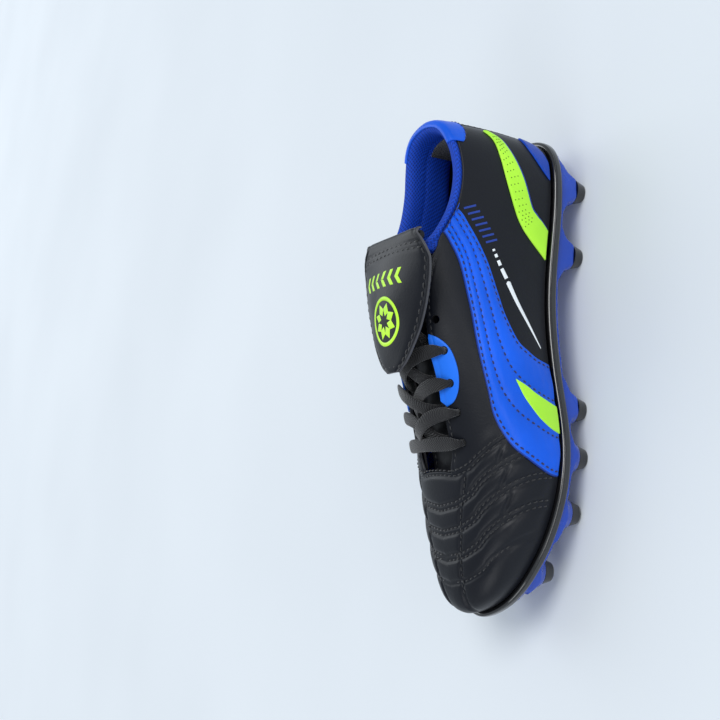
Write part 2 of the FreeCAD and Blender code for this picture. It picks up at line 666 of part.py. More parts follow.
# ---- fold-over flap ----
flap_width = table(FLAP_WIDTH, LONG)
flap_middle = table(FLAP_MIDDLE, LONG)
flap_crest = table(FLAP_CREST, LONG)
flap_droop = table(FLAP_DROOP, LONG)


def flap_grid(lift, border):
    """Grid of the flap's underside, raised by lift and drawn in by border."""
    grid = []
    for i in range(19):
        y = (FOLD_Y + border + (9 - FOLD_Y - 2 * border) * i / 18) * LONG
        half, mid = flap_width(y) - border, flap_middle(y)
        row = []
        for j in range(13):
            dx = half * (j - 6) / 6
            row.append(FreeCAD.Vector(mid + dx, y, flap_crest(y) + lift - flap_droop(y) * dx * dx))
        grid.append(row)
    return grid


FLAP_LOW = FOLD_Z + HEM_RADIUS + FOLD_GAP - flap_crest(FOLD_Y * LONG)
FLAP_TOP = FLAP_LOW + FLAP_BACKING + PLY_GAP
parts["flap_backing"] = slab(flap_grid(FLAP_LOW + FLAP_BACKING, 2.0), flap_grid(FLAP_LOW, 2.0))
parts["flap_outer"] = slab(flap_grid(FLAP_TOP + FLAP_THICK, 0.0), flap_grid(FLAP_TOP, 0.0))
badge_low = FLAP_TOP + FLAP_THICK + PLY_GAP
disc = Part.makeCylinder(BADGE_RADIUS, 60, FreeCAD.Vector(-2, -15 * LONG, 60))
parts["flap_badge"] = slab(flap_grid(badge_low + BADGE_THICK, 0.0), flap_grid(badge_low, 0.0)).common(disc)

# ---- lace ----
def eyelet(side, number, inward, off):
    """Point near an eyelet: inward is toward the throat along the skin."""
    y, t = EYELETS[number]
    s = s_at(side, y * LONG)
    here = skin(side, s, t)
    ahead = skin(side, s, min(1.0, t + .05))
    step = math.dist(here, ahead) / .05
    return point(side, s, t + inward / step, off)


def crossing(y, off):
    s = s_at(-1, y * LONG)
    c, n = skin(-1, s, 1.0), crest_normal(s)
    return FreeCAD.Vector(*[c[k] + off * n[k] for k in range(3)])


ABOVE = SEWN[1] + LACE_GAP + LACE_RADIUS + .4


def dive(side, number):
    """Lace from the top of an eyelet, through it and under the eyestay to the throat."""
    y, t = EYELETS[number]
    s = s_at(side, y * LONG)
    edge = math.dist(skin(side, s, t), skin(side, s, quarter_top(side, s)))
    stops = [(3.4, ABOVE), (.6, ABOVE - .4), (-.2, -.8), (.2, -3.4), (2.6, LACE_RUN - .1),
             (edge + .3, LACE_RUN), (edge + 3.2, LACE_RUN + 2.2)]
    return [eyelet(side, number, inward, off) for inward, off in stops]


def strand(side, low, high):
    """Half of the lace from the bottom bar up to its free end."""
    points = []
    for number in range(4, 0, -1):
        points += dive(side, number)
        y = (EYELETS[number][0] + EYELETS[number - 1][0]) / 2
        if number > 1:
            points.append(crossing(y, low if (number % 2 == 0) == (side < 0) else high))
            side = -side
    return points, side


ends = {}
halves = []
for side in (-1, 1):
    run, last = strand(side, 1.2, 4.4)
    y, t = EYELETS[1]
    tail = [eyelet(last, 1, 11.0, -1.6) + FreeCAD.Vector(0, -3, 0)]
    for step in range(4):
        tail.append(crossing(y - 10 - 7 * step, -3.6) + FreeCAD.Vector(last * (3.5 + step * .4), 0, 0))
    halves.append(run + tail)
    ends[last] = tail[-2:]
parts["lace"] = sweep(eased(halves[0][::-1] + [crossing(EYELETS[4][0], ABOVE + 1.0)] + halves[1]), LACE_RADIUS)
for side, name in NAMES.items():
    before, tip = ends[side]
    axis = (tip - before).normalize()
    parts["aglet_" + name] = Part.makeCylinder(LACE_RADIUS, AGLET_LENGTH, tip + axis * AGLET_GAP, axis)

# ---- eyelet holes ----
for side, name in NAMES.items():
    for number in range(len(EYELETS)):
        low, high = eyelet(side, number, 0, -5.0), eyelet(side, number, 0, 4.0)
        for node, radius in (("quarter_", HOLE_RADIUS), ("eyelet_patch_", HOLE_RADIUS),
                             ("quarter_lining_", HOLE_RADIUS + 1)):
            drill = Part.makeCylinder(radius, (high - low).Length, low, high - low)
            parts[node + name] = parts[node + name].cut(drill)

# ---- centre the shoe on x = 0 and write one file per piece ----
bounds = Part.makeCompound(list(parts.values())).optimalBoundingBox(False, False)
CENTRE_SHIFT = FreeCAD.Vector(-(bounds.XMin + bounds.XMax) / 2, -(bounds.YMin + bounds.YMax) / 2, 0)
print("moved by", CENTRE_SHIFT)
os.makedirs("parts", exist_ok=True)
for node, shape in parts.items():
    solid = shape.Solids[0] if len(shape.Solids) == 1 else shape
    solid.translate(CENTRE_SHIFT)
    print(node, solid.ShapeType, len(solid.Solids), solid.isValid(), round(solid.Volume, 1))
    solid.exportStep("parts/" + node + ".step")
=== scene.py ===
import math
import bpy
import bmesh
import numpy as np
from mathutils import Matrix, Vector


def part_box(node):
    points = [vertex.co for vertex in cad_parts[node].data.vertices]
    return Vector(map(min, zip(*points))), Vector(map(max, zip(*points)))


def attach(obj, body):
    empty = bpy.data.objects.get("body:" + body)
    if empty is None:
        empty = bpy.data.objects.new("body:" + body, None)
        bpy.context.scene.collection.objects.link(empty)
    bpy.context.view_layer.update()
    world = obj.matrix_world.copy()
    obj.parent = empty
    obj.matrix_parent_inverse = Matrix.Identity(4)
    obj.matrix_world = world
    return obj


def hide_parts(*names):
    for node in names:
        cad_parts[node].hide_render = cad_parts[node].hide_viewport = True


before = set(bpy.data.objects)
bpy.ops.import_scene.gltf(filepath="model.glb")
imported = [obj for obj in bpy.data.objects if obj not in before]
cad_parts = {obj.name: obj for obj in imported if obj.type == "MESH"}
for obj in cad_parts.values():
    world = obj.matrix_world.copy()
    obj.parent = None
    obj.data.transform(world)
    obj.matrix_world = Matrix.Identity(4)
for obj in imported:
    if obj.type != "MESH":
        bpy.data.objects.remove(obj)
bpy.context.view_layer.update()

MM = 0.001

# -------------------------------- sizes, in millimetres
RIM_BOX = [np.array(corner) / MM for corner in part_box("sole_rim")]
LENGTH = RIM_BOX[1][1] - RIM_BOX[0][1]
LONG = LENGTH / 236.0
BALL_WIDTH = 79.5
RIM_STEP = 2.6
SKIN = 1.1
OVERLAY = 0.8
PLY_GAP = 0.15
LACE_WIDTH = 6.3
LACE_THICK = 1.15
STITCH_LENGTH = 2.1
STITCH_SPACE = 1.0
STITCH_RADIUS = 0.27
HOLE_RADIUS = 2.0
HEEL_START = .0012
WELD = 2e-6
SHARP_ANGLE = 52
TONGUE_BASE, TONGUE_THICK = -9.7, 3.0
PLATE_INSET, PLATE_LIMIT = 2.2, 2.0
STUD_BASE = 5.65
INSOLE_PRINT_LEVEL = 5.97
LINING_BASE, LINING_THICK = -3.4, 1.2
HEM_HALF = 22.0
FLAP_LONG = 61
FLAP_SEAM_LEVEL = 1.92
PRINT_LEVEL, PRINT_THICK = 2.36, .16
LOOP_COUNT = 360

# -------------------------------- the shape of the last, as in the CAD model
LATERAL = [(0, -.5), (-.178, -.4853), (-.290, -.443), (-.335, -.373), (-.338, -.262), (-.345, -.148),
           (-.393, -.034), (-.465, .085), (-.512, .192), (-.478, .303), (-.372, .400), (-.190, .4735),
           (.035, .5)]
MEDIAL = [(0, -.5), (.178, -.4853), (.290, -.443), (.332, -.373), (.325, -.262), (.318, -.148),
          (.352, -.034), (.420, .085), (.478, .190), (.490, .280), (.452, .365), (.345, .440),
          (.200, .4868), (.035, .5)]
FEATHER = [(-118, 21), (-80, 20.5), (-30, 21.5), (0, 20.5), (30, 18), (55, 18.5), (80, 21.5),
           (100, 26), (118, 31)]
RIDGE = [(-118, 128), (-84, 118), (-66, 107), (-50, 99), (-25, 90), (0, 81), (25, 71), (50, 62),
         (75, 54.5), (100, 48)]
CREST_X = [(-118, 0), (-86, 0), (-40, -.6), (0, -1.5), (40, -1), (80, 2.5), (118, 3)]
BULGE_LATERAL = [(-118, .12, .34, 1.05), (-86, .30, .34, 1.14), (-50, .36, .46, 1.16),
                 (-20, .46, .52, 1.06), (5, .44, .55, .96), (35, .30, .56, .86), (60, .20, .58, .80),
                 (85, .16, .60, .76), (118, .12, .62, .74)]
BULGE_MEDIAL = [(-118, .12, .34, 1.05), (-86, .28, .34, 1.12), (-50, .36, .46, 1.12),
                (-20, .50, .50, 1.02), (5, .42, .52, .94), (35, .24, .55, .86), (60, .18, .58, .80),
                (85, .14, .60, .76), (118, .12, .62, .74)]
CREST_BACK, CREST_FRONT, CREST_SOFT = -86.0 * LONG, 80.0 * LONG, 9.0
COLLAR_TOP = [(-118, 79.5), (-108, 78), (-95, 75.5), (-83, 74.5), (-69, 76.5), (-57, 81.5), (-49, 87)]
THROAT = [(-56, 25), (-46, 22), (-36, 19.5), (-22, 17), (0, 15.5), (20, 15), (52, 15)]
ROLL_DROP = 6.3
LEATHER_DROP = 2.4
SEAM_START = -56.0
EYELETS = [(-15.5, .694), (-1.5, .684), (13.0, .703), (26.0, .713), (39.5, .723)]
BAND_FRONT = [(-58.5, .62), (-56.6, .555), (-51, .518), (-41, .478), (-23, .457), (-7, .458), (14, .460),
              (27.5, .458), (38.5, .382), (45, .25), (50, .10), (51, .012)]
BAND_REAR = [(-70.5, .53), (-67, .46), (-61, .420), (-53.9, .378), (-43.5, .329), (-30.4, .288),
             (-21, .262), (-9.8, .207), (-5.6, .150), (-3, .10), (-1.8, .05), (-1, .012)]
WEDGE_UPPER = [(9.3, .276), (11.5, .220), (14.5, .164), (17.2, .09), (19.2, .02)]
WEDGE_LOWER = [(10.3, .276), (17.7, .245), (25.3, .173), (29.8, .09), (31.8, .02)]
STRIPE_FRONT = [(-109.8, .292), (-104.9, .272), (-96.5, .262), (-85.2, .242), (-72.2, .201),
                (-65, .160), (-59.3, .102), (-52.5, .015)]
STRIPE_REAR = [(-110, .276), (-106, .236), (-101.5, .216), (-89.1, .166), (-76.5, .122),
               (-72.5, .086), (-70.4, .055), (-67, .015)]
LEAF_FRONT = [(-112, .125), (-106, .115), (-100, .085), (-95.5, .05), (-92.5, .015)]
LEAF_REAR = [(-112, .115), (-110, .065), (-107, .040), (-104, .024), (-101.5, .015)]
PATCH_OUTER = [(-9, .765), (-7, .70), (-3, .645), (3, .625), (9.5, .63), (16, .66), (21, .71), (23.5, .77)]
PATCH_INNER = [(-7.5, .80), (-3, .795), (1, .79), (5, .788), (9, .79), (13, .795), (17, .80), (21, .81)]
FLAP_WIDTH = [(-52, 24.5), (-49, 27.4), (-45, 29.8), (-40, 31), (-26, 28.5), (-12, 23), (-2, 17), (5, 11),
              (9, 5)]
FLAP_MIDDLE = [(-52, -6), (-30, -3), (-10, -2), (9, -4)]
FLAP_CREST = [(-52, 94.8), (-40, 95.2), (-25, 94.2), (-8, 91.2), (9, 87.8)]
FLAP_DROOP = [(-52, 0), (-46, .003), (-40, .0055), (-25, .0085), (-8, .011), (9, .011)]
FOLD_Y, FOLD_Z, HEM_RADIUS = -52.0, 92.3, 2.2


# -------------------------------- smooth lookups
def table(rows, scale=1.0):
    """Smooth lookup in rows of (key, value, ...); works on arrays."""
    keys = np.array([r[0] for r in rows], float) * scale
    values = np.array([r[1:] for r in rows], float)
    slopes = np.empty_like(values)
    last = len(rows) - 1
    for j in range(last + 1):
        a, b = max(0, j - 1), min(last, j + 1)
        slopes[j] = (values[b] - values[a]) / (keys[b] - keys[a])

    def at(x):
        x = np.clip(np.asarray(x, float), keys[0], keys[-1])
        i = np.clip(np.searchsorted(keys, x) - 1, 0, last - 1)
        h = keys[i + 1] - keys[i]
        t = ((x - keys[i]) / h)[..., None]
        h = h[..., None]
        out = ((2 * t ** 3 - 3 * t * t + 1) * values[i] + (t ** 3 - 2 * t * t + t) * slopes[i] * h
               + (3 * t * t - 2 * t ** 3) * values[i + 1] + (t ** 3 - t * t) * slopes[i + 1] * h)
        return out[..., 0] if out.shape[-1] == 1 else out
    return at


def natural_spline(u, y, start, end):
    """Second derivatives of the cubic through (u, y) with given end slopes."""
    n, h = len(u), np.diff(u)
    m, rhs = np.zeros((n, n)), np.zeros(n)
    m[0, :2], rhs[0] = (2 * h[0], h[0]), 6 * ((y[1] - y[0]) / h[0] - start)
    m[-1, -2:], rhs[-1] = (h[-1], 2 * h[-1]), 6 * (end - (y[-1] - y[-2]) / h[-1])
    for i in range(1, n - 1):
        m[i, i - 1:i + 2] = h[i - 1], 2 * (h[i - 1] + h[i]), h[i]
        rhs[i] = 6 * ((y[i + 1] - y[i]) / h[i] - (y[i] - y[i - 1]) / h[i - 1])
    return np.linalg.solve(m, rhs)


def spline_values(u, y, bend, fine):
    """The same cubic, looked up at fine."""
    i = np.clip(np.searchsorted(u, fine) - 1, 0, len(u) - 2)
    h = u[i + 1] - u[i]
    a = (u[i + 1] - fine) / h
    b = 1 - a
    return (a * y[i] + b * y[i + 1]
            + ((a ** 3 - a) * bend[i] + (b ** 3 - b) * bend[i + 1]) * h ** 2 / 6)


DENSE = np.linspace(0, 1, 4001)


def outline_samples(shares):
    """The sole's outline on one side, from heel to toe."""
    points = np.array([(x * BALL_WIDTH, y * LENGTH) for x, y in shares])
    u = np.concatenate([[0], np.cumsum(np.hypot(*np.diff(points, axis=0).T))])
    u /= u[-1]
    side = 1 if points[2, 0] > 0 else -1
    reach = side * 0.8 * LENGTH
    out = []
    for k, (start, end) in enumerate(((reach, -reach), (0, 0))):
        bend = natural_spline(u, points[:, k], start, end)
        out.append(spline_values(u, points[:, k], bend, DENSE))
    return np.array(out)


RAW_OUTLINE = {-1: outline_samples(LATERAL), 1: outline_samples(MEDIAL)}


def inset_outline(side, inset):
    """The outline moved inward."""
    x, y = RAW_OUTLINE[side]
    tx, ty = np.gradient(x), np.gradient(y)
    ty[0] = ty[-1] = 0.0
    size = np.hypot(tx, ty)
    return x - side * inset * ty / size, y + side * inset * tx / size


EDGE = {side: inset_outline(side, RIM_STEP) for side in (-1, 1)}
SHIFT = np.array([RIM_BOX[0][0] - RAW_OUTLINE[-1][0].min(), RIM_BOX[0][1] + LENGTH / 2, 0.0])
BULGE = {-1: table(BULGE_LATERAL, LONG), 1: table(BULGE_MEDIAL, LONG)}
feather_z, ridge_z, crest_x = table(FEATHER, LONG), table(RIDGE, LONG), table(CREST_X, LONG)
collar_z, throat_half = table(COLLAR_TOP, LONG), table(THROAT, LONG)


def crest_y(y):
    """Where on the crest line the arch that starts at y ends."""
    def ramp(v):
        return CREST_SOFT * np.log1p(np.exp(v / CREST_SOFT))
    return CREST_BACK + ramp(y - CREST_BACK) - ramp(y - CREST_FRONT)


def one_side(side, s, t):
    """The last's surface on one side: a cubic arch from the outline to the crest."""
    bx = np.interp(s, DENSE, EDGE[side][0])
    by = np.interp(s, DENSE, EDGE[side][1])
    cy = crest_y(by)
    cx = crest_x(cy)
    low, top = feather_z(by), ridge_z(cy)
    fall = (ridge_z(cy + 1) - ridge_z(cy - 1)) / 2
    bulge, lift, wide = np.moveaxis(BULGE[side](by), -1, 0)
    dx, dy = bx - cx, by - cy
    poles = [(bx, by, low),
             (cx + dx * (1 + bulge), cy + dy * (1 + bulge), low + lift * (top - low)),
             (cx + dx * wide, cy + dy * wide, top + fall * dy * wide),
             (cx, cy, top)]
    share = ((1 - t) ** 3, 3 * (1 - t) ** 2 * t, 3 * (1 - t) * t * t, t ** 3)
    return np.stack([sum(w * p[k] for w, p in zip(share, poles)) for k in range(3)], -1)


def skin(side, s, t):
    """Outer face of the upper.  side, s and t are arrays; s runs heel to toe, t sole to crest."""
    side, s, t = np.broadcast_arrays(side, np.asarray(s, float), np.asarray(t, float))
    return np.where((side < 0)[..., None], one_side(-1, s, t), one_side(1, s, t))


def unit(v):
    return v / np.maximum(np.linalg.norm(v, axis=-1, keepdims=True), 1e-12)


def normals(side, s, t):
    """Outward normals of the upper, levelled at the crest and at the ends."""
    side, s, t = np.broadcast_arrays(side, np.asarray(s, float), np.asarray(t, float))
    step = 1e-3
    tt = np.clip(t, step, .985)
    ss = np.clip(s, 2 * step, 1 - 2 * step)
    u = skin(side, ss + step, tt) - skin(side, ss - step, tt)
    v = skin(side, ss, tt + step) - skin(side, ss, tt - step)
    n = unit(np.cross(u, v)) * side[..., None]
    cy = crest_y(outline_y(side, ss))
    fall = (ridge_z(cy + 1) - ridge_z(cy - 1)) / 2
    top = unit(np.stack([np.zeros_like(fall), -fall, np.ones_like(fall)], -1))
    w = np.clip((t - .9) / .1, 0, 1)[..., None]
    n = unit((1 - w) * n + w * top)
    end = np.clip(1 - np.minimum(s, 1 - s) / .004, 0, 1)[..., None]
    flat = n * np.array([0.0, 1.0, 1.0])
    return unit((1 - end) * n + end * flat)


def place(side, s, t, off):
    """Points off the upper's outer face by off."""
    off = np.asarray(off, float)
    return skin(side, s, t) + normals(side, s, t) * (off[..., None] if off.ndim else off)


def s_at(side, y):
    """The share s of the outline that lies at y."""
    return np.interp(y, EDGE[side][1], DENSE)


def bisect(test, low, high, shape):
    """The value up to which test holds, for each element."""
    low, high = np.full(shape, float(low)), np.full(shape, float(high))
    for _ in range(26):
        mid = (low + high) / 2
        keep = test(mid)
        low, high = np.where(keep, mid, low), np.where(keep, high, mid)
    return low


def t_at_height(side, s, z):
    """Where the upper reaches height z."""
    s = np.asarray(s, float)
    return bisect(lambda t: skin(side, s, t)[..., 2] < z, 0, 1, s.shape)


def outline_y(side, s):
    return np.where(np.asarray(side) < 0, np.interp(s, DENSE, EDGE[-1][1]), np.interp(s, DENSE, EDGE[1][1]))


def t_at_half(side, s, half):
    """Where the upper comes within half of the crest line."""
    s = np.asarray(s, float)
    cx = crest_x(crest_y(outline_y(side, s)))
    return bisect(lambda t: np.abs(skin(side, s, t)[..., 0] - cx) > half, .45, 1, s.shape)


def smooth(x):
    x = np.clip(x, 0, 1)
    return x * x * (3 - 2 * x)


def tabulated(edge):
    """The same edge, looked up from samples."""
    samples = np.linspace(0, 1, 401)
    kept = {side: edge(side, samples) for side in (-1, 1)}

    def at(side, s):
        outer, inner = np.interp(s, samples, kept[-1]), np.interp(s, samples, kept[1])
        return np.where(np.asarray(side) < 0, outer, inner)
    return at


def upper_edge(drop, half):
    """Top edge of a quarter: drop below the collar at the back, half a throat's width in front."""
    def edge(side, s):
        y = outline_y(side, s)
        back = t_at_height(side, s, collar_z(y) - drop)
        front = t_at_half(side, s, half(y))
        w = smooth((y - SEAM_START * LONG) / (8 * LONG))
        return (1 - w) * back + w * front
    return tabulated(edge)


quarter_top = upper_edge(ROLL_DROP, throat_half)
visual_top = upper_edge(LEATHER_DROP, lambda y: throat_half(y) - 2.6 * smooth((y - 44 * LONG) / (8 * LONG)))
lining_top = upper_edge(ROLL_DROP, lambda y: throat_half(y) + 1.2)


# -------------------------------- materials
def node(tree, kind, inputs=None, **props):
    made = tree.nodes.new(kind)
    for key, value in props.items():
        setattr(made, key, value)
    for key, value in (inputs or {}).items():
        if isinstance(value, bpy.types.NodeSocket):
            tree.links.new(value, made.inputs[key])
        else:
            made.inputs[key].default_value = value
    return made


def ramp(tree, fac, *stops):
    made = node(tree, "ShaderNodeValToRGB", {"Fac": fac})
    while len(made.color_ramp.elements) < len(stops):
        made.color_ramp.elements.new(0.5)
    for element, (place, colour) in zip(made.color_ramp.elements, stops):
        element.position = place
        element.color = (*colour, 1)
    return made.outputs["Color"]


def spread(tree, fac, low, high):
    return node(tree, "ShaderNodeMapRange", {"Value": fac, "To Min": low, "To Max": high}).outputs["Result"]


def fresh(name, **sockets):
    made = bpy.data.materials.new(name)
    made.use_nodes = True
    tree = made.node_tree
    shader = tree.nodes["Principled BSDF"]
    for key, value in sockets.items():
        shader.inputs[key.replace("_", " ")].default_value = value
    return made, tree, shader


def coordinates(tree, space="Object"):
    return node(tree, "ShaderNodeTexCoord").outputs[space]


def noise(tree, where, scale, detail):
    inputs = {"Vector": where, "Scale": scale, "Detail": detail}
    return node(tree, "ShaderNodeTexNoise", inputs).outputs["Fac"]


def bumped(tree, shader, *layers):
    """Bump from layers of (strength, depth in millimetres, height), the coarse one first."""
    normal = None
    for strength, depth, height in layers:
        inputs = {"Strength": strength, "Distance": depth * MM, "Height": height}
        if normal is not None:
            inputs["Normal"] = normal
        normal = node(tree, "ShaderNodeBump", inputs).outputs[0]
    tree.links.new(normal, shader.inputs["Normal"])


def mixed(tree, shader, share, base, other, **props):
    """Base colour mixed from base and one other colour."""
    mix = node(tree, "ShaderNodeMix", {"Factor": share}, data_type="RGBA", **props)
    tree.links.new(base, mix.inputs[6])
    mix.inputs[7].default_value = (*other, 1)
    tree.links.new(mix.outputs[2], shader.inputs["Base Color"])


def tint(colour, amount):
    return tuple(min(1.0, c * amount + .002 * (amount - 1)) for c in colour)


def coloured(tree, shader, base, rim, wear):
    """Base colour, turning to rim where the cut edge of a piece shows."""
    edge = node(tree, "ShaderNodeAttribute", attribute_name="rim").outputs["Fac"]
    share = node(tree, "ShaderNodeMath", {0: edge, 1: wear}, operation="MULTIPLY").outputs[0]
    mixed(tree, shader, share, base, rim)


def leather(name, colour, rough=.42, grain=.95, depth=.05, rim=None, wear=.5, coat=.05, spots=26):
    """Fine-grained synthetic leather."""
    made, tree, shader = fresh(name, Specular_IOR_Level=.24, Coat_Weight=coat, Coat_Roughness=.3,
                               Sheen_Weight=.02, Sheen_Roughness=.4)
    where = coordinates(tree)
    broad = noise(tree, where, spots, 5.0)
    cells = node(tree, "ShaderNodeTexVoronoi", {"Vector": where, "Scale": 1000 / grain, "Randomness": 1.0},
                 feature="SMOOTH_F1").outputs["Distance"]
    pores = noise(tree, where, 2600 / grain, 3.0)
    coloured(tree, shader, ramp(tree, broad, (.3, tint(colour, .86)), (.7, tint(colour, 1.16))),
             rim or tint(colour, 1.9), wear)
    tree.links.new(spread(tree, broad, rough - .08, rough + .09), shader.inputs["Roughness"])
    bumped(tree, shader, (.42, depth * 2, cells), (.32, depth, pores))
    return made


def mesh_cloth(name, dark, bright, pitch=1.5, rough=.7, sheen=.45):
    """Open knitted mesh: rows of small holes between bright threads."""
    made, tree, shader = fresh(name, Roughness=rough, Sheen_Weight=sheen, Sheen_Roughness=.35,
                               Sheen_Tint=(*tint(bright, 1.3), 1), Specular_IOR_Level=.3)
    where = coordinates(tree, "UV")
    rows = node(tree, "ShaderNodeMapping", {"Vector": where, "Scale": (1 / pitch, 1.25 / pitch, 1),
                                            "Rotation": (0, 0, math.radians(45))}).outputs[0]
    holes = node(tree, "ShaderNodeTexVoronoi", {"Vector": rows, "Scale": 1.0, "Randomness": .12},
                 voronoi_dimensions="2D").outputs["Distance"]
    yarn = noise(tree, where, 5.0, 3.0)
    broad = noise(tree, coordinates(tree), 40.0, 3.0)
    base = ramp(tree, holes, (.08, dark), (.34, tint(bright, .8)), (.62, tint(bright, 1.15)))
    mixed(tree, shader, spread(tree, broad, 0, .45), base, (.62, .66, .82), blend_type="MULTIPLY")
    bumped(tree, shader, (.7, .35, holes), (.35, .1, yarn))
    return made


def woven(name, dark, bright, pitch=.7, rough=.75, sheen=.35, slant=45):
    """Close woven tape or cloth."""
    made, tree, shader = fresh(name, Sheen_Weight=sheen, Sheen_Roughness=.4, Specular_IOR_Level=.3)
    where = coordinates(tree, "UV")
    waves = []
    for turn in (slant, -slant):
        turned = node(tree, "ShaderNodeMapping", {"Vector": where, "Rotation": (0, 0, math.radians(turn))})
        waves.append(node(tree, "ShaderNodeTexWave", {"Vector": turned.outputs[0], "Scale": .31 / pitch,
                                                      "Distortion": .6, "Detail": 1.0}).outputs["Fac"])
    weave = node(tree, "ShaderNodeMath", {0: waves[0], 1: waves[1]}, operation="MULTIPLY").outputs[0]
    fuzz = noise(tree, where, 3.0, 4.0)
    tree.links.new(ramp(tree, weave, (.1, dark), (.75, bright)), shader.inputs["Base Color"])
    tree.links.new(spread(tree, fuzz, rough - .1, rough + .12), shader.inputs["Roughness"])
    bumped(tree, shader, (.8, .22, weave), (.3, .08, fuzz))
    return made


def moulded(name, colour, rough=.16, coat=.5, depth=.05):
    """Injection-moulded plastic with faint flow marks and scuffs."""
    made, tree, shader = fresh(name, Specular_IOR_Level=.55, Coat_Weight=coat, Coat_Roughness=.06)
    where = coordinates(tree)
    flow, fine = noise(tree, where, 55.0, 5.0), noise(tree, where, 900.0, 3.0)
    coloured(tree, shader, ramp(tree, flow, (.3, tint(colour, .88)), (.7, tint(colour, 1.12))),
             tint(colour, 1.5), .35)
    tree.links.new(spread(tree, flow, rough - .05, rough + .12), shader.inputs["Roughness"])
    bumped(tree, shader, (.12, depth, fine))
    return made


def thread(name, colour, rough=.5):
    """Twisted sewing thread."""
    made, tree, shader = fresh(name, Roughness=rough, Sheen_Weight=.3, Specular_IOR_Level=.4)
    ply = noise(tree, coordinates(tree), 3000.0, 2.0)
    shade = ramp(tree, ply, (.3, tint(colour, .7)), (.7, tint(colour, 1.3)))
    tree.links.new(shade, shader.inputs["Base Color"])
    bumped(tree, shader, (.5, .08, ply))
    return made


BLACK = (.0036, .0046, .0082)
BLUE = (.001, .098, .70)
LIME = (.45, .97, .04)
BRIGHT_BLUE = (.010, .15, .76)
M = {
    "skin": leather("upper_leather", BLACK, rough=.40, rim=(.045, .047, .055), wear=.5),
    "band": leather("band_leather", BLUE, rough=.40, grain=1.1, depth=.06, rim=(.03, .12, .8), wear=.4),
    "patch": leather("eyelet_patch_leather", BRIGHT_BLUE, rough=.36, rim=(.05, .2, .9), wear=.3),
    "lime": leather("lime_leather", LIME, rough=.36, depth=.03, rim=(.5, .95, .12), wear=.3, coat=.2),
    "deep_blue": leather("blue_piping_leather", (.003, .045, .36), rough=.36, wear=.3),
    "flap": leather("flap_leather", (.0042, .0052, .0088), rough=.36, rim=(.09, .09, .10), wear=.85,
                    coat=.06),
    "backing": leather("flap_backing_leather", (.012, .012, .014), rough=.6, grain=.7),
    "tongue": leather("tongue_leather", (.008, .0085, .011), rough=.44),
    "collar": mesh_cloth("collar_mesh_cloth", (.0006, .007, .085), (.003, .062, .52)),
    "lining": mesh_cloth("lining_mesh_cloth", (.0008, .006, .07), (.003, .05, .44), pitch=1.9),
    "insole": woven("insole_brushed_cloth", (.002, .007, .05), (.006, .03, .26), pitch=.8),
    "foam": woven("sockliner_foam", (.02, .02, .022), (.05, .05, .055), pitch=1.4, sheen=.1),
    "grip": woven("heel_grip_suede", (.004, .004, .006), (.016, .016, .02), pitch=.4, sheen=.6),
    "lace": woven("lace_tape", (.0025, .0025, .0032), (.022, .022, .027), pitch=.62, rough=.62, slant=62),
    "rim": moulded("rim_gloss_black", (.0035, .0035, .0042), rough=.11, coat=.8),
    "plate": moulded("plate_blue", (.001, .045, .40), rough=.22, coat=.3),
    "tip": moulded("stud_tip_black", (.005, .005, .006), rough=.22, coat=.4),
    "aglet": moulded("aglet_black", (.006, .006, .007), rough=.2),
    "print_white": leather("white_print", (.82, .86, .9), rough=.4, depth=.02, coat=.3, wear=.1),
    "print_lime": leather("lime_print", (.50, .95, .03), rough=.36, depth=.02, coat=.3, wear=.1),
    "print_blue": leather("blue_print", (.012, .045, .30), rough=.42, depth=.02, coat=.2, wear=.1),
    # perforations: a darkened lime, painted shade inside the holes
    "hole": leather("perforation_painted_shade", (.06, .17, .008), rough=.7, depth=.02, wear=0),
    "black_thread": thread("black_thread", (.007, .007, .009)),
    "blue_thread": thread("blue_thread", (.0015, .008, .085)),
    "board": leather("board_fibre", (.16, .12, .075), rough=.8, grain=1.6),
    "stiffener": leather("stiffener_sheet", (.24, .24, .22), rough=.7, grain=1.4),
}


# -------------------------------- meshes
def grid_faces(nu, nv, closed_u=False, closed_v=False):
    rows, cols = np.arange(nu if closed_u else nu - 1), np.arange(nv if closed_v else nv - 1)
    i, j = np.meshgrid(rows, cols, indexing="ij")
    k, m = (i + 1) % nu, (j + 1) % nv
    return np.stack([i * nv + j, k * nv + j, k * nv + m, i * nv + m], -1).reshape(-1, 4).tolist()


def tube_faces(nu, nv):
    """Rings of nv points joined into a tube, with a cap at each end."""
    return grid_faces(nu, nv, closed_v=True) + [list(range(nv))[::-1], list(range((nu - 1) * nv, nu * nv))]


def repeated(faces, size, count):
    """The faces of one small solid of size points, for count of them."""
    return [[k + size * c for k in face] for c in range(count) for face in faces]


def circle(count):
    return np.arange(count) * 2 * math.pi / count


def shell_faces(nu, nv, skip=()):
    """Outer grid, inner grid and the walls that join them."""
    n = nu * nv
    faces = grid_faces(nu, nv)
    faces += [[n + k for k in reversed(f)] for f in faces]
    borders = {"v0": [i * nv for i in range(nu)], "v1": [i * nv + nv - 1 for i in range(nu)][::-1],
               "u0": list(range(nv))[::-1], "u1": [(nu - 1) * nv + j for j in range(nv)]}
    for name, row in borders.items():
        if name not in skip:
            faces += [[b, a, n + a, n + b] for a, b in zip(row, row[1:])]
    return faces


def linked(name, data):
    """A new object in the scene."""
    obj = bpy.data.objects.new(name, data)
    bpy.context.scene.collection.objects.link(obj)
    return obj


def turn_outward(mesh, weld=False):
    """Make all faces look outward, after joining doubled points if weld is set."""
    work = bmesh.new()
    work.from_mesh(mesh)
    if weld:
        bmesh.ops.remove_doubles(work, verts=work.verts, dist=WELD)
    bmesh.ops.recalc_face_normals(work, faces=work.faces)
    work.to_mesh(mesh)
    work.free()


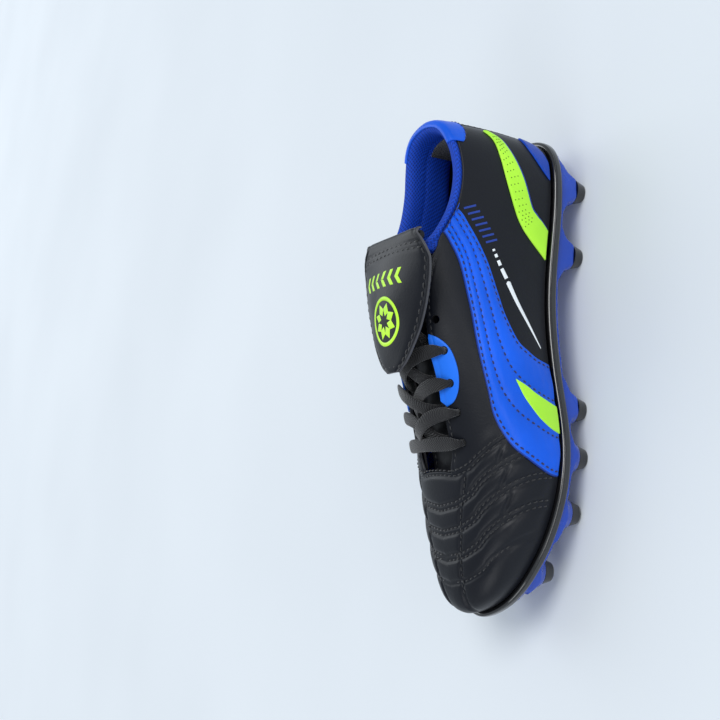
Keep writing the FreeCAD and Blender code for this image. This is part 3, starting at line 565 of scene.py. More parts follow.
def apply_modifiers(obj):
    """Replace the object's mesh with the one its modifiers make."""
    bpy.context.view_layer.update()
    shape = bpy.data.meshes.new_from_object(obj.evaluated_get(bpy.context.evaluated_depsgraph_get()))
    obj.modifiers.clear()
    old, name = obj.data, obj.data.name
    obj.data = shape
    bpy.data.meshes.remove(old)
    shape.name = name


def build(name, data, material, body="shoe", nodes=(), weld=False):
    """One visible piece from points, faces, UV and rim share, all in millimetres."""
    verts, faces, uv, rim = data
    mesh = bpy.data.meshes.new(name)
    mesh.from_pydata(((verts + SHIFT) * MM).tolist(), [], faces)
    corner = np.empty(len(mesh.loops), np.int32)
    mesh.loops.foreach_get("vertex_index", corner)
    layer = mesh.uv_layers.new(name="UVMap")
    layer.data.foreach_set("uv", np.ascontiguousarray(uv[corner], np.float32).ravel())
    edges = mesh.attributes.new("rim", "FLOAT", "POINT")
    edges.data.foreach_set("value", np.asarray(rim, np.float32).ravel())
    turn_outward(mesh, weld)
    mesh.polygons.foreach_set("use_smooth", [True] * len(mesh.polygons))
    mesh.set_sharp_from_angle(angle=math.radians(SHARP_ANGLE))
    mesh.materials.append(M[material])
    obj = linked(name, mesh)
    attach(obj, body)
    if nodes:
        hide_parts(*nodes)
    return obj


def join(pieces):
    verts, faces, uvs, rims, n = [], [], [], [], 0
    for v, f, uv, rim in pieces:
        verts.append(v)
        faces += [[k + n for k in face] for face in f]
        uvs.append(uv)
        rims.append(rim)
        n += len(v)
    return np.concatenate(verts), faces, np.concatenate(uvs), np.concatenate(rims)


def arc(points, axis):
    """Distance along a line or along each line of a grid."""
    step = np.linalg.norm(np.diff(points, axis=axis), axis=-1)
    pad = [(0, 0)] * step.ndim
    pad[axis] = (1, 0)
    return np.cumsum(np.pad(step, pad), axis=axis)


def crown(distance, reach):
    return np.sqrt(1 - (1 - np.clip(distance / reach, 0, 1)) ** 2)


def spaced(length, step, reach):
    """Shares of a length, finer where its two ends are rounded."""
    near = reach * np.array([0, .05, .15, .32, .56, .8, 1.0])
    count = max(2, int(round((length - 2 * reach) / step)) + 1)
    inner = np.linspace(reach, length - reach, count)
    return np.concatenate([near[:-1], inner, length - near[-2::-1]]) / length


def plate(points, normal, base, thick, reach=.5, relief=0.0, soft=(), skip=()):
    """Closed sheet over a grid of points, its borders rounded over.  soft borders stay square."""
    au, av = arc(points, 0), arc(points, 1)
    sides = {"u0": au, "u1": au[-1:] - au, "v0": av, "v1": av[:, -1:] - av}
    d = np.min([sides[k] for k in sides if k not in soft], axis=0)
    top = base + thick * (.12 + .88 * crown(d, reach)) + relief * smooth(d / (reach * 2))
    verts = np.concatenate([(points + normal * np.broadcast_to(h, au.shape)[..., None]).reshape(-1, 3)
                            for h in (top, base)])
    uv = np.stack([au, av], -1).reshape(-1, 2)
    rim = np.clip(1 - d / (reach * .8), 0, 1).reshape(-1)
    return verts, shell_faces(*au.shape, skip=skip), np.concatenate([uv, uv]), np.concatenate([rim, rim])


def on_skin(at, base, thick, step=1.0, reach=.5, relief=None, **more):
    """Sheet over the upper; at(u, v) gives side, s, t."""
    side, s, t = at(np.linspace(0, 1, 41)[:, None], np.linspace(0, 1, 21)[None, :])
    rough = skin(side, s, t)
    length, width = arc(rough, 0)[-1].mean(), arc(rough, 1)[:, -1].max()
    u, v = spaced(length, step, reach)[:, None], spaced(width, step, reach)[None, :]
    side, s, t = at(u, v)
    points = skin(side, s, t)
    raised = relief(u, v, points) if relief else 0.0
    return plate(points, normals(side, s, t), base, thick, reach, raised, **more)


def strip(points, normal, widths, base, thick, rows=5, reach=.25):
    """Narrow sheet along a line of points."""
    along = unit(np.gradient(points, axis=0))
    across = unit(np.cross(normal, along))
    v = np.linspace(-.5, .5, rows)
    grid = points[:, None] + across[:, None] * (v[None, :, None] * np.asarray(widths)[:, None, None])
    return plate(grid, np.repeat(normal[:, None], rows, 1), base, thick, reach)


def resampled(points, total, at, **more):
    """A line of points, looked up at distances at."""
    return np.stack([np.interp(at, total, column, **more) for column in points.T], -1)


def stitched(points, normal, lift=0.0, length=STITCH_LENGTH, space=STITCH_SPACE, radius=STITCH_RADIUS,
             slant=7):
    """A row of separate stitches along a line."""
    total = arc(points, 0)
    count = max(1, int(total[-1] / (length + space)))
    at = (np.arange(count) + .5) * total[-1] / count
    centre = resampled(points, total, at)
    up = unit(resampled(normal, total, at))
    ahead = resampled(points, total, at + .4) - resampled(points, total, at - .4)
    ahead = unit(ahead - up * np.sum(ahead * up, -1, keepdims=True))
    across = np.cross(up, ahead)
    a = math.radians(slant)
    ahead, across = ahead * math.cos(a) + across * math.sin(a), across * math.cos(a) - ahead * math.sin(a)
    x = np.array([-1, -.86, -.55, 0, .55, .86, 1.0])
    w = circle(6)
    size = radius * np.sqrt(np.clip(1.02 - np.abs(x) ** 5, .02, 1))
    height = lift + radius * (.55 - 1.5 * np.abs(x) ** 4)
    local = np.stack(np.broadcast_arrays(x[:, None] * length / 2 + 0 * w, size[:, None] * np.sin(w) * 1.1,
                                         height[:, None] + size[:, None] * np.cos(w)), -1).reshape(-1, 3)
    verts = (centre[:, None] + local[None, :, :1] * ahead[:, None] + local[None, :, 1:2] * across[:, None]
             + local[None, :, 2:] * up[:, None]).reshape(-1, 3)
    return verts, repeated(tube_faces(7, 6), 42, count), np.zeros((len(verts), 2)), np.zeros(len(verts))


def dots(centre, normal, radius, height=.03):
    """Small low domes."""
    side = unit(np.cross(normal, np.array([0.0, 0, 1]) + 1e-3))
    other = np.cross(normal, side)
    w = circle(10)
    radius = np.broadcast_to(radius, len(centre))[:, None, None]
    turn = side[:, None] * np.cos(w)[:, None] + other[:, None] * np.sin(w)[:, None]
    ring = centre[:, None] + radius * turn
    low = ring - normal[:, None] * .15
    mid = ring + normal[:, None] * height * .6
    top = centre[:, None] * .5 + ring * .5 + normal[:, None] * height
    verts = np.concatenate([low, mid, top], 1).reshape(-1, 3)
    faces = repeated(tube_faces(3, 10), 30, len(centre))
    return verts, faces, np.zeros((len(verts), 2)), np.zeros(len(verts))


def tube(rings):
    """Closed tube through rings of points."""
    nu, nv = rings.shape[:2]
    uv = np.stack([arc(rings, 0), arc(rings, 1)], -1).reshape(-1, 2)
    return rings.reshape(-1, 3), tube_faces(nu, nv), uv, np.zeros(nu * nv)


def turned(profile, count=48):
    """Solid turned about the z axis from a (radius, z) profile."""
    profile = np.array(profile, float)
    w = circle(count)
    return np.stack([profile[:, :1] * np.cos(w), profile[:, :1] * np.sin(w),
                     np.repeat(profile[:, 1:], count, 1)], -1)


def signed(reach, low, high):
    """Map for a sheet round the heel, from the inner side to the outer side."""
    ends = {side: s_at(side, reach * LONG) for side in (-1, 1)}

    def at(u, v):
        w = 2 * u - 1
        side = np.where(w < 0, 1, -1) + 0 * v
        s = np.where(w < 0, -w * ends[1], w * ends[-1]) + 0 * v
        a, b = low(side, s), high(side, s)
        return side, s, a + (b - a) * v
    return at


def under_roll(drop):
    def edge(side, s):
        return t_at_height(side, s, collar_z(outline_y(side, s)) - ROLL_DROP - drop)
    return edge


def ribbon(side, front, rear):
    f, r = [table([(i / (len(e) - 1), y, t) for i, (y, t) in enumerate(e)]) for e in (front, rear)]

    def at(u, v):
        a, b = f(u), r(u)
        sa, sb = s_at(side, a[..., 0] * LONG), s_at(side, b[..., 0] * LONG)
        ta = np.minimum(a[..., 1], visual_top(side, sa) - .006)
        tb = np.minimum(b[..., 1], visual_top(side, sb) - .006)
        return side + 0 * (u + v), sa + (sb - sa) * v, ta + (tb - ta) * v
    return at


def along(at, u, v, off):
    """Points and normals on a mapped sheet."""
    side, s, t = at(np.asarray(u, float), np.asarray(v, float))
    return place(side, s, t, off), normals(side, s, t)


NAMES = {-1: "lateral", 1: "medial"}
DROP = table([(0, 0), (11, 1.7), (15, 2.6), (25, 7.5), (30, 12), (40, 19.5), (50, 26.5), (58, 31),
              (70, 37)])
SEAM = table([(0, 52), (8, 52.2), (13, 52.6), (18, 52), (25, 49.5), (30, 46), (40, 38.5), (50, 31.5),
              (58, 27)])
QUILT = [69, 80.3, 92]
LAST_LINE = 103.4
INNER_LINE = table([(51, 21.7), (62, 18.9), (70, 16), (82, 13.9), (90, 12), (95, 11), (105, 9), (112, 7.5)])
THREADS = {"black": [], "blue": []}


def sew(colour, points, normal, *sizes, **more):
    """Add a row of stitches; each colour of thread becomes one piece at the end."""
    THREADS[colour].append(stitched(points, normal, *sizes, **more))


def girth(points):
    """Distance from the crest line, sideways and down the side."""
    y = points[..., 1]
    return np.abs(points[..., 0] - crest_x(y)) + .4 * np.maximum(ridge_z(y) - points[..., 2], 0)


# -------------------------------- upper: quarters, vamp and linings
def quarter_map(side, first, lap, top=visual_top):
    def at(u, v):
        v = np.broadcast_to(v, np.broadcast(u, v).shape)

        def behind(s):
            points = skin(side, s, v[:1] * top(side, s))
            return points[..., 1] < (SEAM(girth(points)) + lap) * LONG
        end = bisect(behind, .3, .97, v[:1].shape)
        s = first + (end - first) * u
        return side + 0 * s, s, v * top(side, s)
    return at


def both_halves(halves):
    """One grid from the outer and the inner side's, which share the crest line."""
    return [np.concatenate([a, b[:, -2::-1]], 1) for a, b in zip(*halves)]


def vamp_grid(step, off_start=0.0):
    """Points and normals over the toe, both sides in one grid."""
    count = int(62 / step)
    t = np.linspace(0, 1, count)[None, :]
    u = spaced(82, step, .6)[:, None]
    halves = []
    for side in (-1, 1):
        def behind(s):
            points = skin(side, s, t)
            return points[..., 1] < (SEAM(girth(points)) + off_start) * LONG
        start = bisect(behind, .3, .97, t.shape)
        s = start + (1 - start) * u
        tt = t + 0 * s
        p = skin(side, s, tt)
        edge_t = np.interp(outline_y(side, s) / LONG, *np.array(BAND_FRONT).T, right=-1)
        clear = band_clearance(side, p)
        halves.append((p, normals(side, s, tt), np.where(tt < edge_t, 0, clear)))
    return both_halves(halves)


def groove(distance, depth, width):
    return -depth * np.exp(-(distance / width) ** 2)


def value_noise(points, size, seed):
    """Smooth noise between -1 and 1 over points."""
    rng = np.random.default_rng(seed)
    grid = rng.uniform(-1, 1, (16, 16, 16))
    p = points / size
    i = np.floor(p).astype(int)
    f = p - i
    f = f * f * (3 - 2 * f)
    out = 0
    for corner in range(8):
        bit = np.array([corner & 1, corner >> 1 & 1, corner >> 2 & 1])
        w = np.prod(np.where(bit, f, 1 - f), axis=-1)
        k = (i + bit) % 16
        out = out + w * grid[k[..., 0], k[..., 1], k[..., 2]]
    return out


def band_clearance(side, points):
    """Distance in front of the band's front edge; negative on the band."""
    edge_y, edge_t = np.array(BAND_FRONT).T
    edge = skin(side, s_at(side, edge_y * LONG), edge_t)
    fine = np.concatenate([a + (b - a) * np.linspace(0, 1, 12)[:, None] for a, b in zip(edge, edge[1:])])
    out = np.full(points.shape[:-1], 1e9)
    for q in fine[::2]:
        out = np.minimum(out, np.linalg.norm(points - q, axis=-1))
    return out


def quilted(points, clear):
    """Height of the quilting over the toe: soft panels between stitched lines."""
    y, w = points[..., 1] / LONG, girth(points)
    drop = DROP(w)
    slope = (DROP(w + .5) - DROP(np.maximum(w - .5, 0)))
    lean = np.sqrt(1 + slope ** 2)
    lines = [SEAM(w) + .5] + [q - drop for q in QUILT] + [LAST_LINE - drop, 122 - drop * .2]
    side = np.abs(np.abs(points[..., 0] - crest_x(points[..., 1])) - INNER_LINE(y))
    swing = 42 + 1.5 * np.sin((y + drop) * .55)
    zigzag = np.abs(w - swing) + 4 * np.clip(y - lines[3], 0, 9)
    near = np.minimum(side, zigzag)
    out = np.zeros_like(y)
    for k, (a, b) in enumerate(zip(lines, lines[1:])):
        first, last = (1.5 if k < 4 else .5), (1.5 if k < 3 else .5)
        gap = np.minimum((y - a) / lean - first, (b - y) / lean - last)
        gap = np.minimum(gap, near - .5)
        p = np.clip((y - a) / np.maximum(b - a, 1), 0, 1)
        dome = .62 * crown(gap, 3.0) + .38 * np.sin(math.pi * p)
        out += np.where((y > a) & (y <= b), dome * smooth(gap / 1.2), 0)
    out *= .92
    for k, line in enumerate(lines[:4]):
        d = (y - line) / lean
        out += .20 * np.exp(-(d / .55) ** 2) - .16 * np.exp(-((np.abs(d) - 1.1) / .5) ** 2)
    low = smooth((points[..., 2] - feather_z(points[..., 1]) - 1) / 9)
    puckers = .07 * np.sin(w * 2.9 + y * .4) * np.exp(-np.clip(np.minimum(near, 3) / 1.6, 0, 9) ** 2)
    grain = .06 * value_noise(points, 7.0, 3)
    return (out * low + grain + puckers * low) * smooth(clear / 5) - .1 * (clear < 1)


def cutters(side):
    """One mesh of punches through the five eyelets."""
    pieces = []
    for y, t in EYELETS:
        s = s_at(side, y * LONG)
        centre, n = skin(side, s, t), normals(side, s, t)
        a = unit(np.cross(n, [0, 0, 1.0]))
        b = np.cross(n, a)
        w = circle(28)
        ring = centre + HOLE_RADIUS * (np.cos(w)[:, None] * a + np.sin(w)[:, None] * b)
        pieces.append(tube(np.stack([ring - n * 6, ring + n * 3])))
    verts, faces = join(pieces)[:2]
    mesh = bpy.data.meshes.new("punch")
    mesh.from_pydata(((verts + SHIFT) * MM).tolist(), [], faces)
    turn_outward(mesh)
    return bpy.data.objects.new("punch", mesh)


def punch(obj, cutter):
    """Cut the eyelets out of a piece."""
    bpy.context.scene.collection.objects.link(cutter)
    cut = obj.modifiers.new("punch", "BOOLEAN")
    cut.operation, cut.solver, cut.object = "DIFFERENCE", "EXACT", cutter
    apply_modifiers(obj)
    bpy.context.scene.collection.objects.unlink(cutter)


def quarter_relief(u, v, points):
    """Lap at the toe seam, grooves along the throat and the seam, and faint creases."""
    y, w = points[..., 1] / LONG, girth(points)
    lap = .45 * smooth((y - SEAM(w) + 9) / 8) * smooth((points[..., 2] - feather_z(points[..., 1])) / 9)
    edge = arc(points, 1)
    edge = edge[:, -1:] - edge
    throat = groove(edge - 2.4, .22, .5) * smooth((y + 50) / 6)
    seam = groove(y - SEAM(w) + 1.2, .3, .5)
    creases = .05 * value_noise(points, 11.0, 5) + .02 * value_noise(points, 3.5, 6)
    return lap + throat + seam + creases


def lining_folds(u, v, points):
    return .12 * np.sin(points[..., 1] * .35) * np.sin(points[..., 2] * .3)


for side, name in NAMES.items():
    cutter = cutters(side)
    at = quarter_map(side, HEEL_START, 1.4)
    quarter = build("quarter_" + name, on_skin(at, -SKIN, SKIN, .9, .6, quarter_relief), "skin",
                    nodes=["quarter_" + name])
    punch(quarter, cutter)
    inner = quarter_map(side, s_at(side, -53 * LONG), -1.0, lining_top)
    sheet = on_skin(inner, LINING_BASE, LINING_THICK, 1.6, .4, lining_folds)
    lining = build("quarter_lining_" + name, sheet, "backing",
                   nodes=["quarter_lining_" + name])
    punch(lining, cutter)
    v = np.linspace(.02, 1, 160)
    line, n = along(quarter_map(side, HEEL_START, -.9), 1.0, v[None, :], .45)
    sew("black", line.reshape(-1, 3), n.reshape(-1, 3))
    y = np.linspace(-44, 49, 160) * LONG
    s = s_at(side, y)
    t = visual_top(side, s)
    edge, below = skin(side, s, t), skin(side, s, t - .03)
    t = t - .03 * 2.4 / np.linalg.norm(edge - below, axis=-1)
    sew("black", place(side, s, t, -.12), normals(side, s, t))

points, n, clear = vamp_grid(.62)
vamp = plate(points, n, -SKIN, SKIN, .6, quilted(points, clear), soft=("u1", "v0", "v1"), skip=("u1",))
build("vamp", vamp, "skin", nodes=["vamp"], weld=True)
points, n = vamp_grid(2.0, 1.6)[:2]
inside = plate(points, n, LINING_BASE, LINING_THICK, .4, 0.0, soft=("u1", "v0", "v1"), skip=("u1",))
build("vamp_lining", inside, "lining", nodes=["vamp_lining"], weld=True)


def on_upper(x, y, off=0.0):
    """Points of the upper above x, y (y on the skin), with their normals."""
    x, y = np.broadcast_arrays(np.asarray(x, float), np.asarray(y, float))
    side = np.where(x - crest_x(y) < 0, -1, 1)
    base = y.copy()
    for _ in range(9):
        s = np.where(side < 0, s_at(-1, base), s_at(1, base))
        reach = np.abs(x - crest_x(y))
        t = bisect(lambda m: np.abs(skin(side, s, m)[..., 0] - crest_x(y)) > reach, .3, 1, x.shape)
        base = base + (y - skin(side, s, t)[..., 1]) * .8
    p, n = skin(side, s, t), normals(side, s, t)
    return p + n * off, n


def quilt_line(level, shift, reach):
    """Stitches along one quilting line, from side to side."""
    for side in (-1, 1):
        s = np.linspace(.45, .985, 400)[:, None]
        t = np.linspace(.05, 1, 130)[None, :]
        p = skin(side, s, t)
        gap = p[..., 1] / LONG - (level(girth(p)) + shift)
        first = np.argmax(gap > 0, axis=0)
        ok = (first > 0) & (girth(p)[first, np.arange(130)] < reach)
        a = np.clip(first - 1, 0, 399)
        cols = np.arange(130)
        w = gap[a, cols] / (gap[a, cols] - gap[first, cols] + 1e-9)
        line_s = (s[a, 0] + (s[first, 0] - s[a, 0]) * w)[ok]
        line_t = t[0][ok]
        if len(line_s) > 8:
            line = place(side, line_s, line_t, -.05)
            sew("black", line, normals(side, line_s, line_t))


for level in QUILT:
    for shift in (-1.1, 1.1):
        quilt_line(lambda w, level=level: level - DROP(w), shift * 1.05, 66)
for shift in (-.6, 1.6):
    quilt_line(SEAM, shift, 48)
quilt_line(lambda w: LAST_LINE - DROP(w), 0, 40)
for side in (-1, 1):
    y = np.linspace(54, 107, 120)
    x = crest_x(y * LONG) + side * INNER_LINE(y)
    line, n = on_upper(x, y * LONG, .06)
    sew("black", line, n)

# -------------------------------- upper: overlays
def stripe_pad(u, v, points=None):
    return .28 * np.sin(math.pi * np.clip(v, 0, 1)) ** .5


for side, name in NAMES.items():
    # padded band with four rows of stitching
    at = ribbon(side, BAND_FRONT, BAND_REAR)
    probe = along(at, np.linspace(0, 1, 41)[:, None], np.linspace(0, 1, 21)[None, :], 0.0)[0]
    widths = arc(probe, 1)[:, -1]
    shares = np.linspace(0, 1, 41)

    def rows_at(u, widths=widths, shares=shares):
        wide = np.interp(np.asarray(u), shares, widths)
        return [1.9 / wide, .335 + 0 * wide, .665 + 0 * wide, 1 - 1.9 / wide]

    def ribs(u, v, points):
        rows = rows_at(u)
        out = 0 * (u + v)
        for a, b in zip(rows, rows[1:]):
            p = np.clip((v - a) / (b - a), 0, 1)
            out = out + .95 * np.sin(math.pi * p) ** .7
        return out + .05 * np.sin(u * 90 + 5 * v) * np.sin(v * 20 + 9 * u)
    build("band_" + name, on_skin(at, PLY_GAP, OVERLAY, .8, .55, ribs), "band",
          nodes=["band_" + name])
    u = np.linspace(.012, .992, 260)
    for row in rows_at(u):
        line, n = along(at, u, row, PLY_GAP + OVERLAY - .05)
        sew("blue", line, n, radius=.42)
    line, n = along(at, np.linspace(.01, .995, 200), 0.0, PLY_GAP)
    build("band_piping_" + name, strip(line, n, [1.0] * 200, .05, .62), "print_blue")

    at = ribbon(side, WEDGE_UPPER, WEDGE_LOWER)
    build("band_wedge_" + name, on_skin(at, 1.1, 1.05, .8, .5), "lime",
          nodes=["band_wedge_" + name])

    # lime heel stripe: perforated, with a narrow blue piece along its rear edge
    at = ribbon(side, STRIPE_FRONT, STRIPE_REAR)
    build("heel_stripe_" + name, on_skin(at, PLY_GAP, OVERLAY, .8, .5, stripe_pad), "lime",
          nodes=["heel_stripe_" + name])
    # the perforations are dark domes, not cut holes; their darkened-lime colour is painted shade inside the
    # holes
    u, v = np.meshgrid(np.linspace(.12, .72, 19), np.linspace(.18, .58, 3), indexing="ij")
    v = v + .13 * (np.arange(19)[:, None] % 2 - .5)
    u, v = u.ravel(), v.ravel()
    spots, n = along(at, u, v, PLY_GAP + OVERLAY + .015 + stripe_pad(u, v))
    build("heel_stripe_perforation_" + name, dots(spots, n, .32, .03), "hole")
    u = np.linspace(.03, .985, 120)
    line, n = along(at, u, np.full(120, 1.0), 0.0)
    taper = 2.1 * smooth(u / .12) * (1 - .45 * smooth((u - .6) / .4)) + .2
    build("heel_piping_" + name, strip(line, n, taper, .06, .55), "deep_blue")

    at = ribbon(side, LEAF_FRONT, LEAF_REAR)
    build("heel_leaf_" + name, on_skin(at, PLY_GAP, OVERLAY, .7, .4), "deep_blue",
          nodes=["heel_leaf_" + name])

    # eyelet patch with an inner seam line
    at = ribbon(side, PATCH_OUTER, PATCH_INNER)

    def inlay(u, v, points):
        edge = arc(points, 1)
        edge = edge[:, -1:] - edge
        return groove(edge - 3.0, .28, .45)
    patch = build("eyelet_patch_" + name, on_skin(at, PLY_GAP, OVERLAY * .8, .6, .45, inlay), "patch",
                  nodes=["eyelet_patch_" + name])
    punch(patch, cutters(side))

# white dashes and plain bars on the outer side, in place of lettering
marks = []
for y0, t0, y1, t1, w0, w1 in [(-51.8, .301, -50.9, .297, 1.3, 1.5), (-49.6, .290, -48.2, .283, 1.6, 1.7),
                               (-46.8, .276, -44.6, .265, 1.8, 1.9), (-43.2, .258, -38.9, .233, 2.0, 2.2)]:
    y, t = np.linspace(y0, y1, 8) * LONG, np.linspace(t0, t1, 8)
    s = s_at(-1, y)
    marks.append(strip(place(-1, s, t, 0.0), normals(-1, s, t), np.linspace(w0, w1, 8), .02, .2, reach=.18))
u = np.linspace(0, 1, 60)
trace = table([(0, -37.6, .2265), (.33, -28, .175), (.66, -18, .112), (1, -8.2, .050)])(u)
s = s_at(-1, trace[:, 0] * LONG)
marks.append(strip(place(-1, s, trace[:, 1], 0.0), normals(-1, s, trace[:, 1]),
                   2.5 * (1 - u) ** .55 * smooth(u / .015 + .3) + .12, .02, .2, reach=.18))
build("dash_print", join(marks), "print_white")
marks = []
for k in range(7):
    y, t = -69.5 + 2.35 * k, .412 - .0165 * k
    s, tt = s_at(-1, np.array([y - 1.2, y + 1.2]) * LONG), np.array([t - .030, t + .026])
    s, tt = np.linspace(s[0], s[1], 8), np.linspace(tt[0], tt[1], 8)
    marks.append(strip(place(-1, s, tt, 0.0), normals(-1, s, tt), [.95] * 8, .02, .16, reach=.15))
build("side_bars", join(marks), "print_blue")

# back of the heel
at = signed(-114.5, lambda side, s: .02 + 0 * s, under_roll(4.4))


def backstay_swell(u, v, points):
    return .3 * np.sin(math.pi * u) ** .6 + 0 * v


build("backstay", on_skin(at, PLY_GAP, OVERLAY, 1.0, .5, backstay_swell), "skin",
      nodes=["backstay"])
for edge in (.09, .91):
    v = np.linspace(.02, .97, 120)
    line, n = along(at, np.full(120, edge), v, .9)
    sew("black", line, n)
TAB_LINE = table([(0, 9.2, .1), (.3, 6.2, .1), (.5, 4.2, .1), (.62, 2.6, .14), (.72, 1.5, .1),
                  (.82, .4, .02), (.9, -.5, -.45), (.96, -1.15, -1.5), (1, -1.4, -2.9)])


def tab(u, v):
    """Points and normals of the heel tab, which turns over the back of the collar."""
    w = 2 * np.asarray(u, float) - 1
    side = np.where(w < 0, 1, -1) + 0 * v
    reach = s_at(-1, -100.5 * LONG) * (1 - .30 * np.clip(1 - v / .42, 0, 1) ** 2)
    s = np.abs(w) * reach
    line = TAB_LINE(v + 0 * s)
    t = t_at_height(side, s, collar_z(outline_y(side, s)) - line[..., 0])
    p = skin(side, s, t) + normals(side, s, t) * line[..., 1:]
    return p, unit(np.cross(np.gradient(p, axis=0), np.gradient(p, axis=1)))


u, v = spaced(56, .8, .5)[:, None], spaced(13, .7, .5)[None, :]
p, n = tab(u, v)
if np.mean(n[:, :3, 1]) > 0:
    n = -n
build("heel_tab", plate(p, n, .05, .75, .5), "band")
rows, cols = p.shape[:2]
ring = ([(4, j) for j in range(11, 4, -1)] + [(i, 4) for i in range(4, rows - 4)]
        + [(rows - 5, j) for j in range(5, 12)])
path = np.array([p[i, j] + n[i, j] * .72 for i, j in ring])
sew("blue", path, np.array([n[i, j] for i, j in ring]))

# -------------------------------- collar and inside of the heel
profile = np.array([(7.5, -1.3), (5.0, -1.3), (3.2, -1.25), (2.2, -.95), (1.3, -.3), (.4, -.15),
                    (-.5, -.6), (-1.15, -1.7), (-1.3, -3.0), (-.8, -4.3), (.4, -5.3), (2.2, -5.9),
                    (4.5, -6.1), (7.0, -6.0), (8.6, -5.75), (10.5, -5.95), (14.5, -6.0), (18.5, -5.8),
                    (21.5, -5.2), (23.4, -4.2),
                    (24.2, -3.0), (23.0, -1.7), (16.0, -1.5), (10.0, -1.4)])
smooth_profile = []
for k in range(len(profile)):
    a, b, c, d = [profile[(k + j) % len(profile)] for j in (-1, 0, 1, 2)]
    for w in np.arange(4) / 4:
        smooth_profile.append(.5 * (2 * b + (c - a) * w + (2 * a - 5 * b + 4 * c - d) * w ** 2
                                    + (3 * b - a - 3 * c + d) * w ** 3))
profile = np.array(smooth_profile)
u = np.linspace(-1, 1, 241)
reach = {side: s_at(side, -47 * LONG) for side in (-1, 1)}
side = np.where(u < 0, 1, -1)[:, None] + np.zeros((1, len(profile)), int)
s = (np.abs(u) * np.where(u < 0, reach[1], reach[-1]))[:, None] + np.zeros((1, len(profile)))
close = crown((1 - np.abs(u)) * 70, 4.0)[:, None]
middle = np.array([6.0, -2.6])
drop = middle[0] + (profile[None, :, 0] - middle[0]) * (.45 + .55 * close)
off = middle[1] + (profile[None, :, 1] - middle[1]) * (.25 + .75 * close)
pucker = .14 * np.sin(np.abs(u)[:, None] * 150 + 2 * np.sin(profile[None, :, 0]))
pucker = pucker * smooth(1 - np.abs(drop - 9) / 6)
t = t_at_height(side, s, collar_z(outline_y(side, s)) - drop)
rings = skin(side, s, t) + normals(side, s, t) * (off + pucker)[..., None]
collar = build("collar_padding", tube(rings), "collar",
               nodes=["collar_roll", "collar_mesh", "collar_foam"])

at = signed(-54, lambda side, s: .004 + 0 * s, under_roll(21))
build("heel_lining", on_skin(at, LINING_BASE, LINING_THICK, 1.6, .4), "lining",
      nodes=["heel_lining"])
at = signed(-108, under_roll(20), under_roll(4))
build("heel_grip", on_skin(at, -6.6, .75, .8, .6), "grip", nodes=["heel_grip"])

# -------------------------------- tongue, hem and flap
def tongue_grid(y0, y1, step):
    y = spaced((y1 - y0), step, .8) * (y1 - y0) + y0
    rows = np.linspace(0, 1, 34)
    halves = []
    for side in (-1, 1):
        s = s_at(side, y * LONG)[:, None]
        low = t_at_half(side, s, throat_half(outline_y(side, s)) * .62 + 9)
        t = low + (1 - low) * rows[None, :]
        ss = s + 0 * t
        halves.append((skin(side, ss, t), normals(side, ss, t)))
    return both_halves(halves)


TONGUE_BACK = FOLD_Y + HEM_RADIUS + 2.8
points, n = tongue_grid(TONGUE_BACK, 60, 1.0)
across = np.abs(points[..., 0] - crest_x(points[..., 1]))
puff = (.5 * np.exp(-(across / 9) ** 4) * (1 + .3 * np.sin(points[..., 1] * .42)) - .25
        + .12 * np.sin(points[..., 1] * .8 + across * .3))
tongue = build("tongue", plate(points, n, TONGUE_BASE, TONGUE_THICK, 1.0, puff), "tongue",
               nodes=["tongue"])
build("tongue_lining", plate(points, n, -10.95, 1.1, .5), "lining", nodes=["tongue_lining"])
for share in (.2, .8):
    k = int(share * (points.shape[1] - 1))
    sew("black", points[:, k] - 6.75 * n[:, k], n[:, k])

FLAP_X = FLAP_MIDDLE[0][1]
x = np.concatenate([[-HEM_HALF, -21.9, -21.6, -21.0], np.linspace(-20, 20, 60),
                    [21.0, 21.6, 21.9, HEM_HALF]])
radius = 2.42 * crown(HEM_HALF - np.abs(x) + .02, HEM_RADIUS)
radius = radius * (1 + .015 * np.sin(x * 1.3))
w = circle(40)
rings = np.stack([np.repeat((FLAP_X + x)[:, None], 40, 1), FOLD_Y * LONG + radius[:, None] * np.cos(w),
                  FOLD_Z + radius[:, None] * np.sin(w)], -1)
build("tongue_hem", tube(rings), "tongue", nodes=["tongue_hem"])

flap_width, flap_middle = table(FLAP_WIDTH, LONG), table(FLAP_MIDDLE, LONG)
flap_crest, flap_droop = table(FLAP_CREST, LONG), table(FLAP_DROOP, LONG)
FLAP_LOW = FOLD_Z + HEM_RADIUS + .3 - 94.8


def flap_at(x, y):
    return np.stack([x + 0 * y, y + 0 * x,
                     flap_crest(y) + FLAP_LOW - flap_droop(y) * (x - flap_middle(y)) ** 2], -1)


def flap_with_normal(x, y):
    e = .2
    a = flap_at(x + e, y) - flap_at(x - e, y)
    b = flap_at(x, y + e) - flap_at(x, y - e)
    return flap_at(x, y), unit(np.cross(a, b))


def flap_shell(border, wrapped, step=1.0):
    """Grid over the flap; the wrapped rows turn down round the fold."""
    long = FLAP_LONG - 2 * border
    y = FOLD_Y + border + spaced(long, step, .8) * long
    y = y[1:] if wrapped else y
    v = spaced(60, step, .8)[None, :] * 2 - 1
    y = (y * LONG)[:, None]
    half = flap_width(y) - border
    p, n = flap_with_normal(flap_middle(y) + half * v, y)
    if wrapped:
        turn = np.radians(np.concatenate([[62, 61, 59, 56], np.arange(50, -1, -7)]))[:, None]
        slim = 1 - .045 * smooth((turn - .4) / 1.2)
        x = FLAP_X + (flap_width(FOLD_Y * LONG) - border) * v * slim
        out = np.stack([0 * x, -np.sin(turn) + 0 * x, np.cos(turn) + 0 * x], -1)
        axis = np.stack([x, FOLD_Y * LONG + 0 * x, FOLD_Z + 0 * x], -1)
        hug = 2.5 - .85 * smooth((turn - .35) / .5)
        p, n = np.concatenate([axis + out * hug[..., None], p]), np.concatenate([out, n])
    return p, n


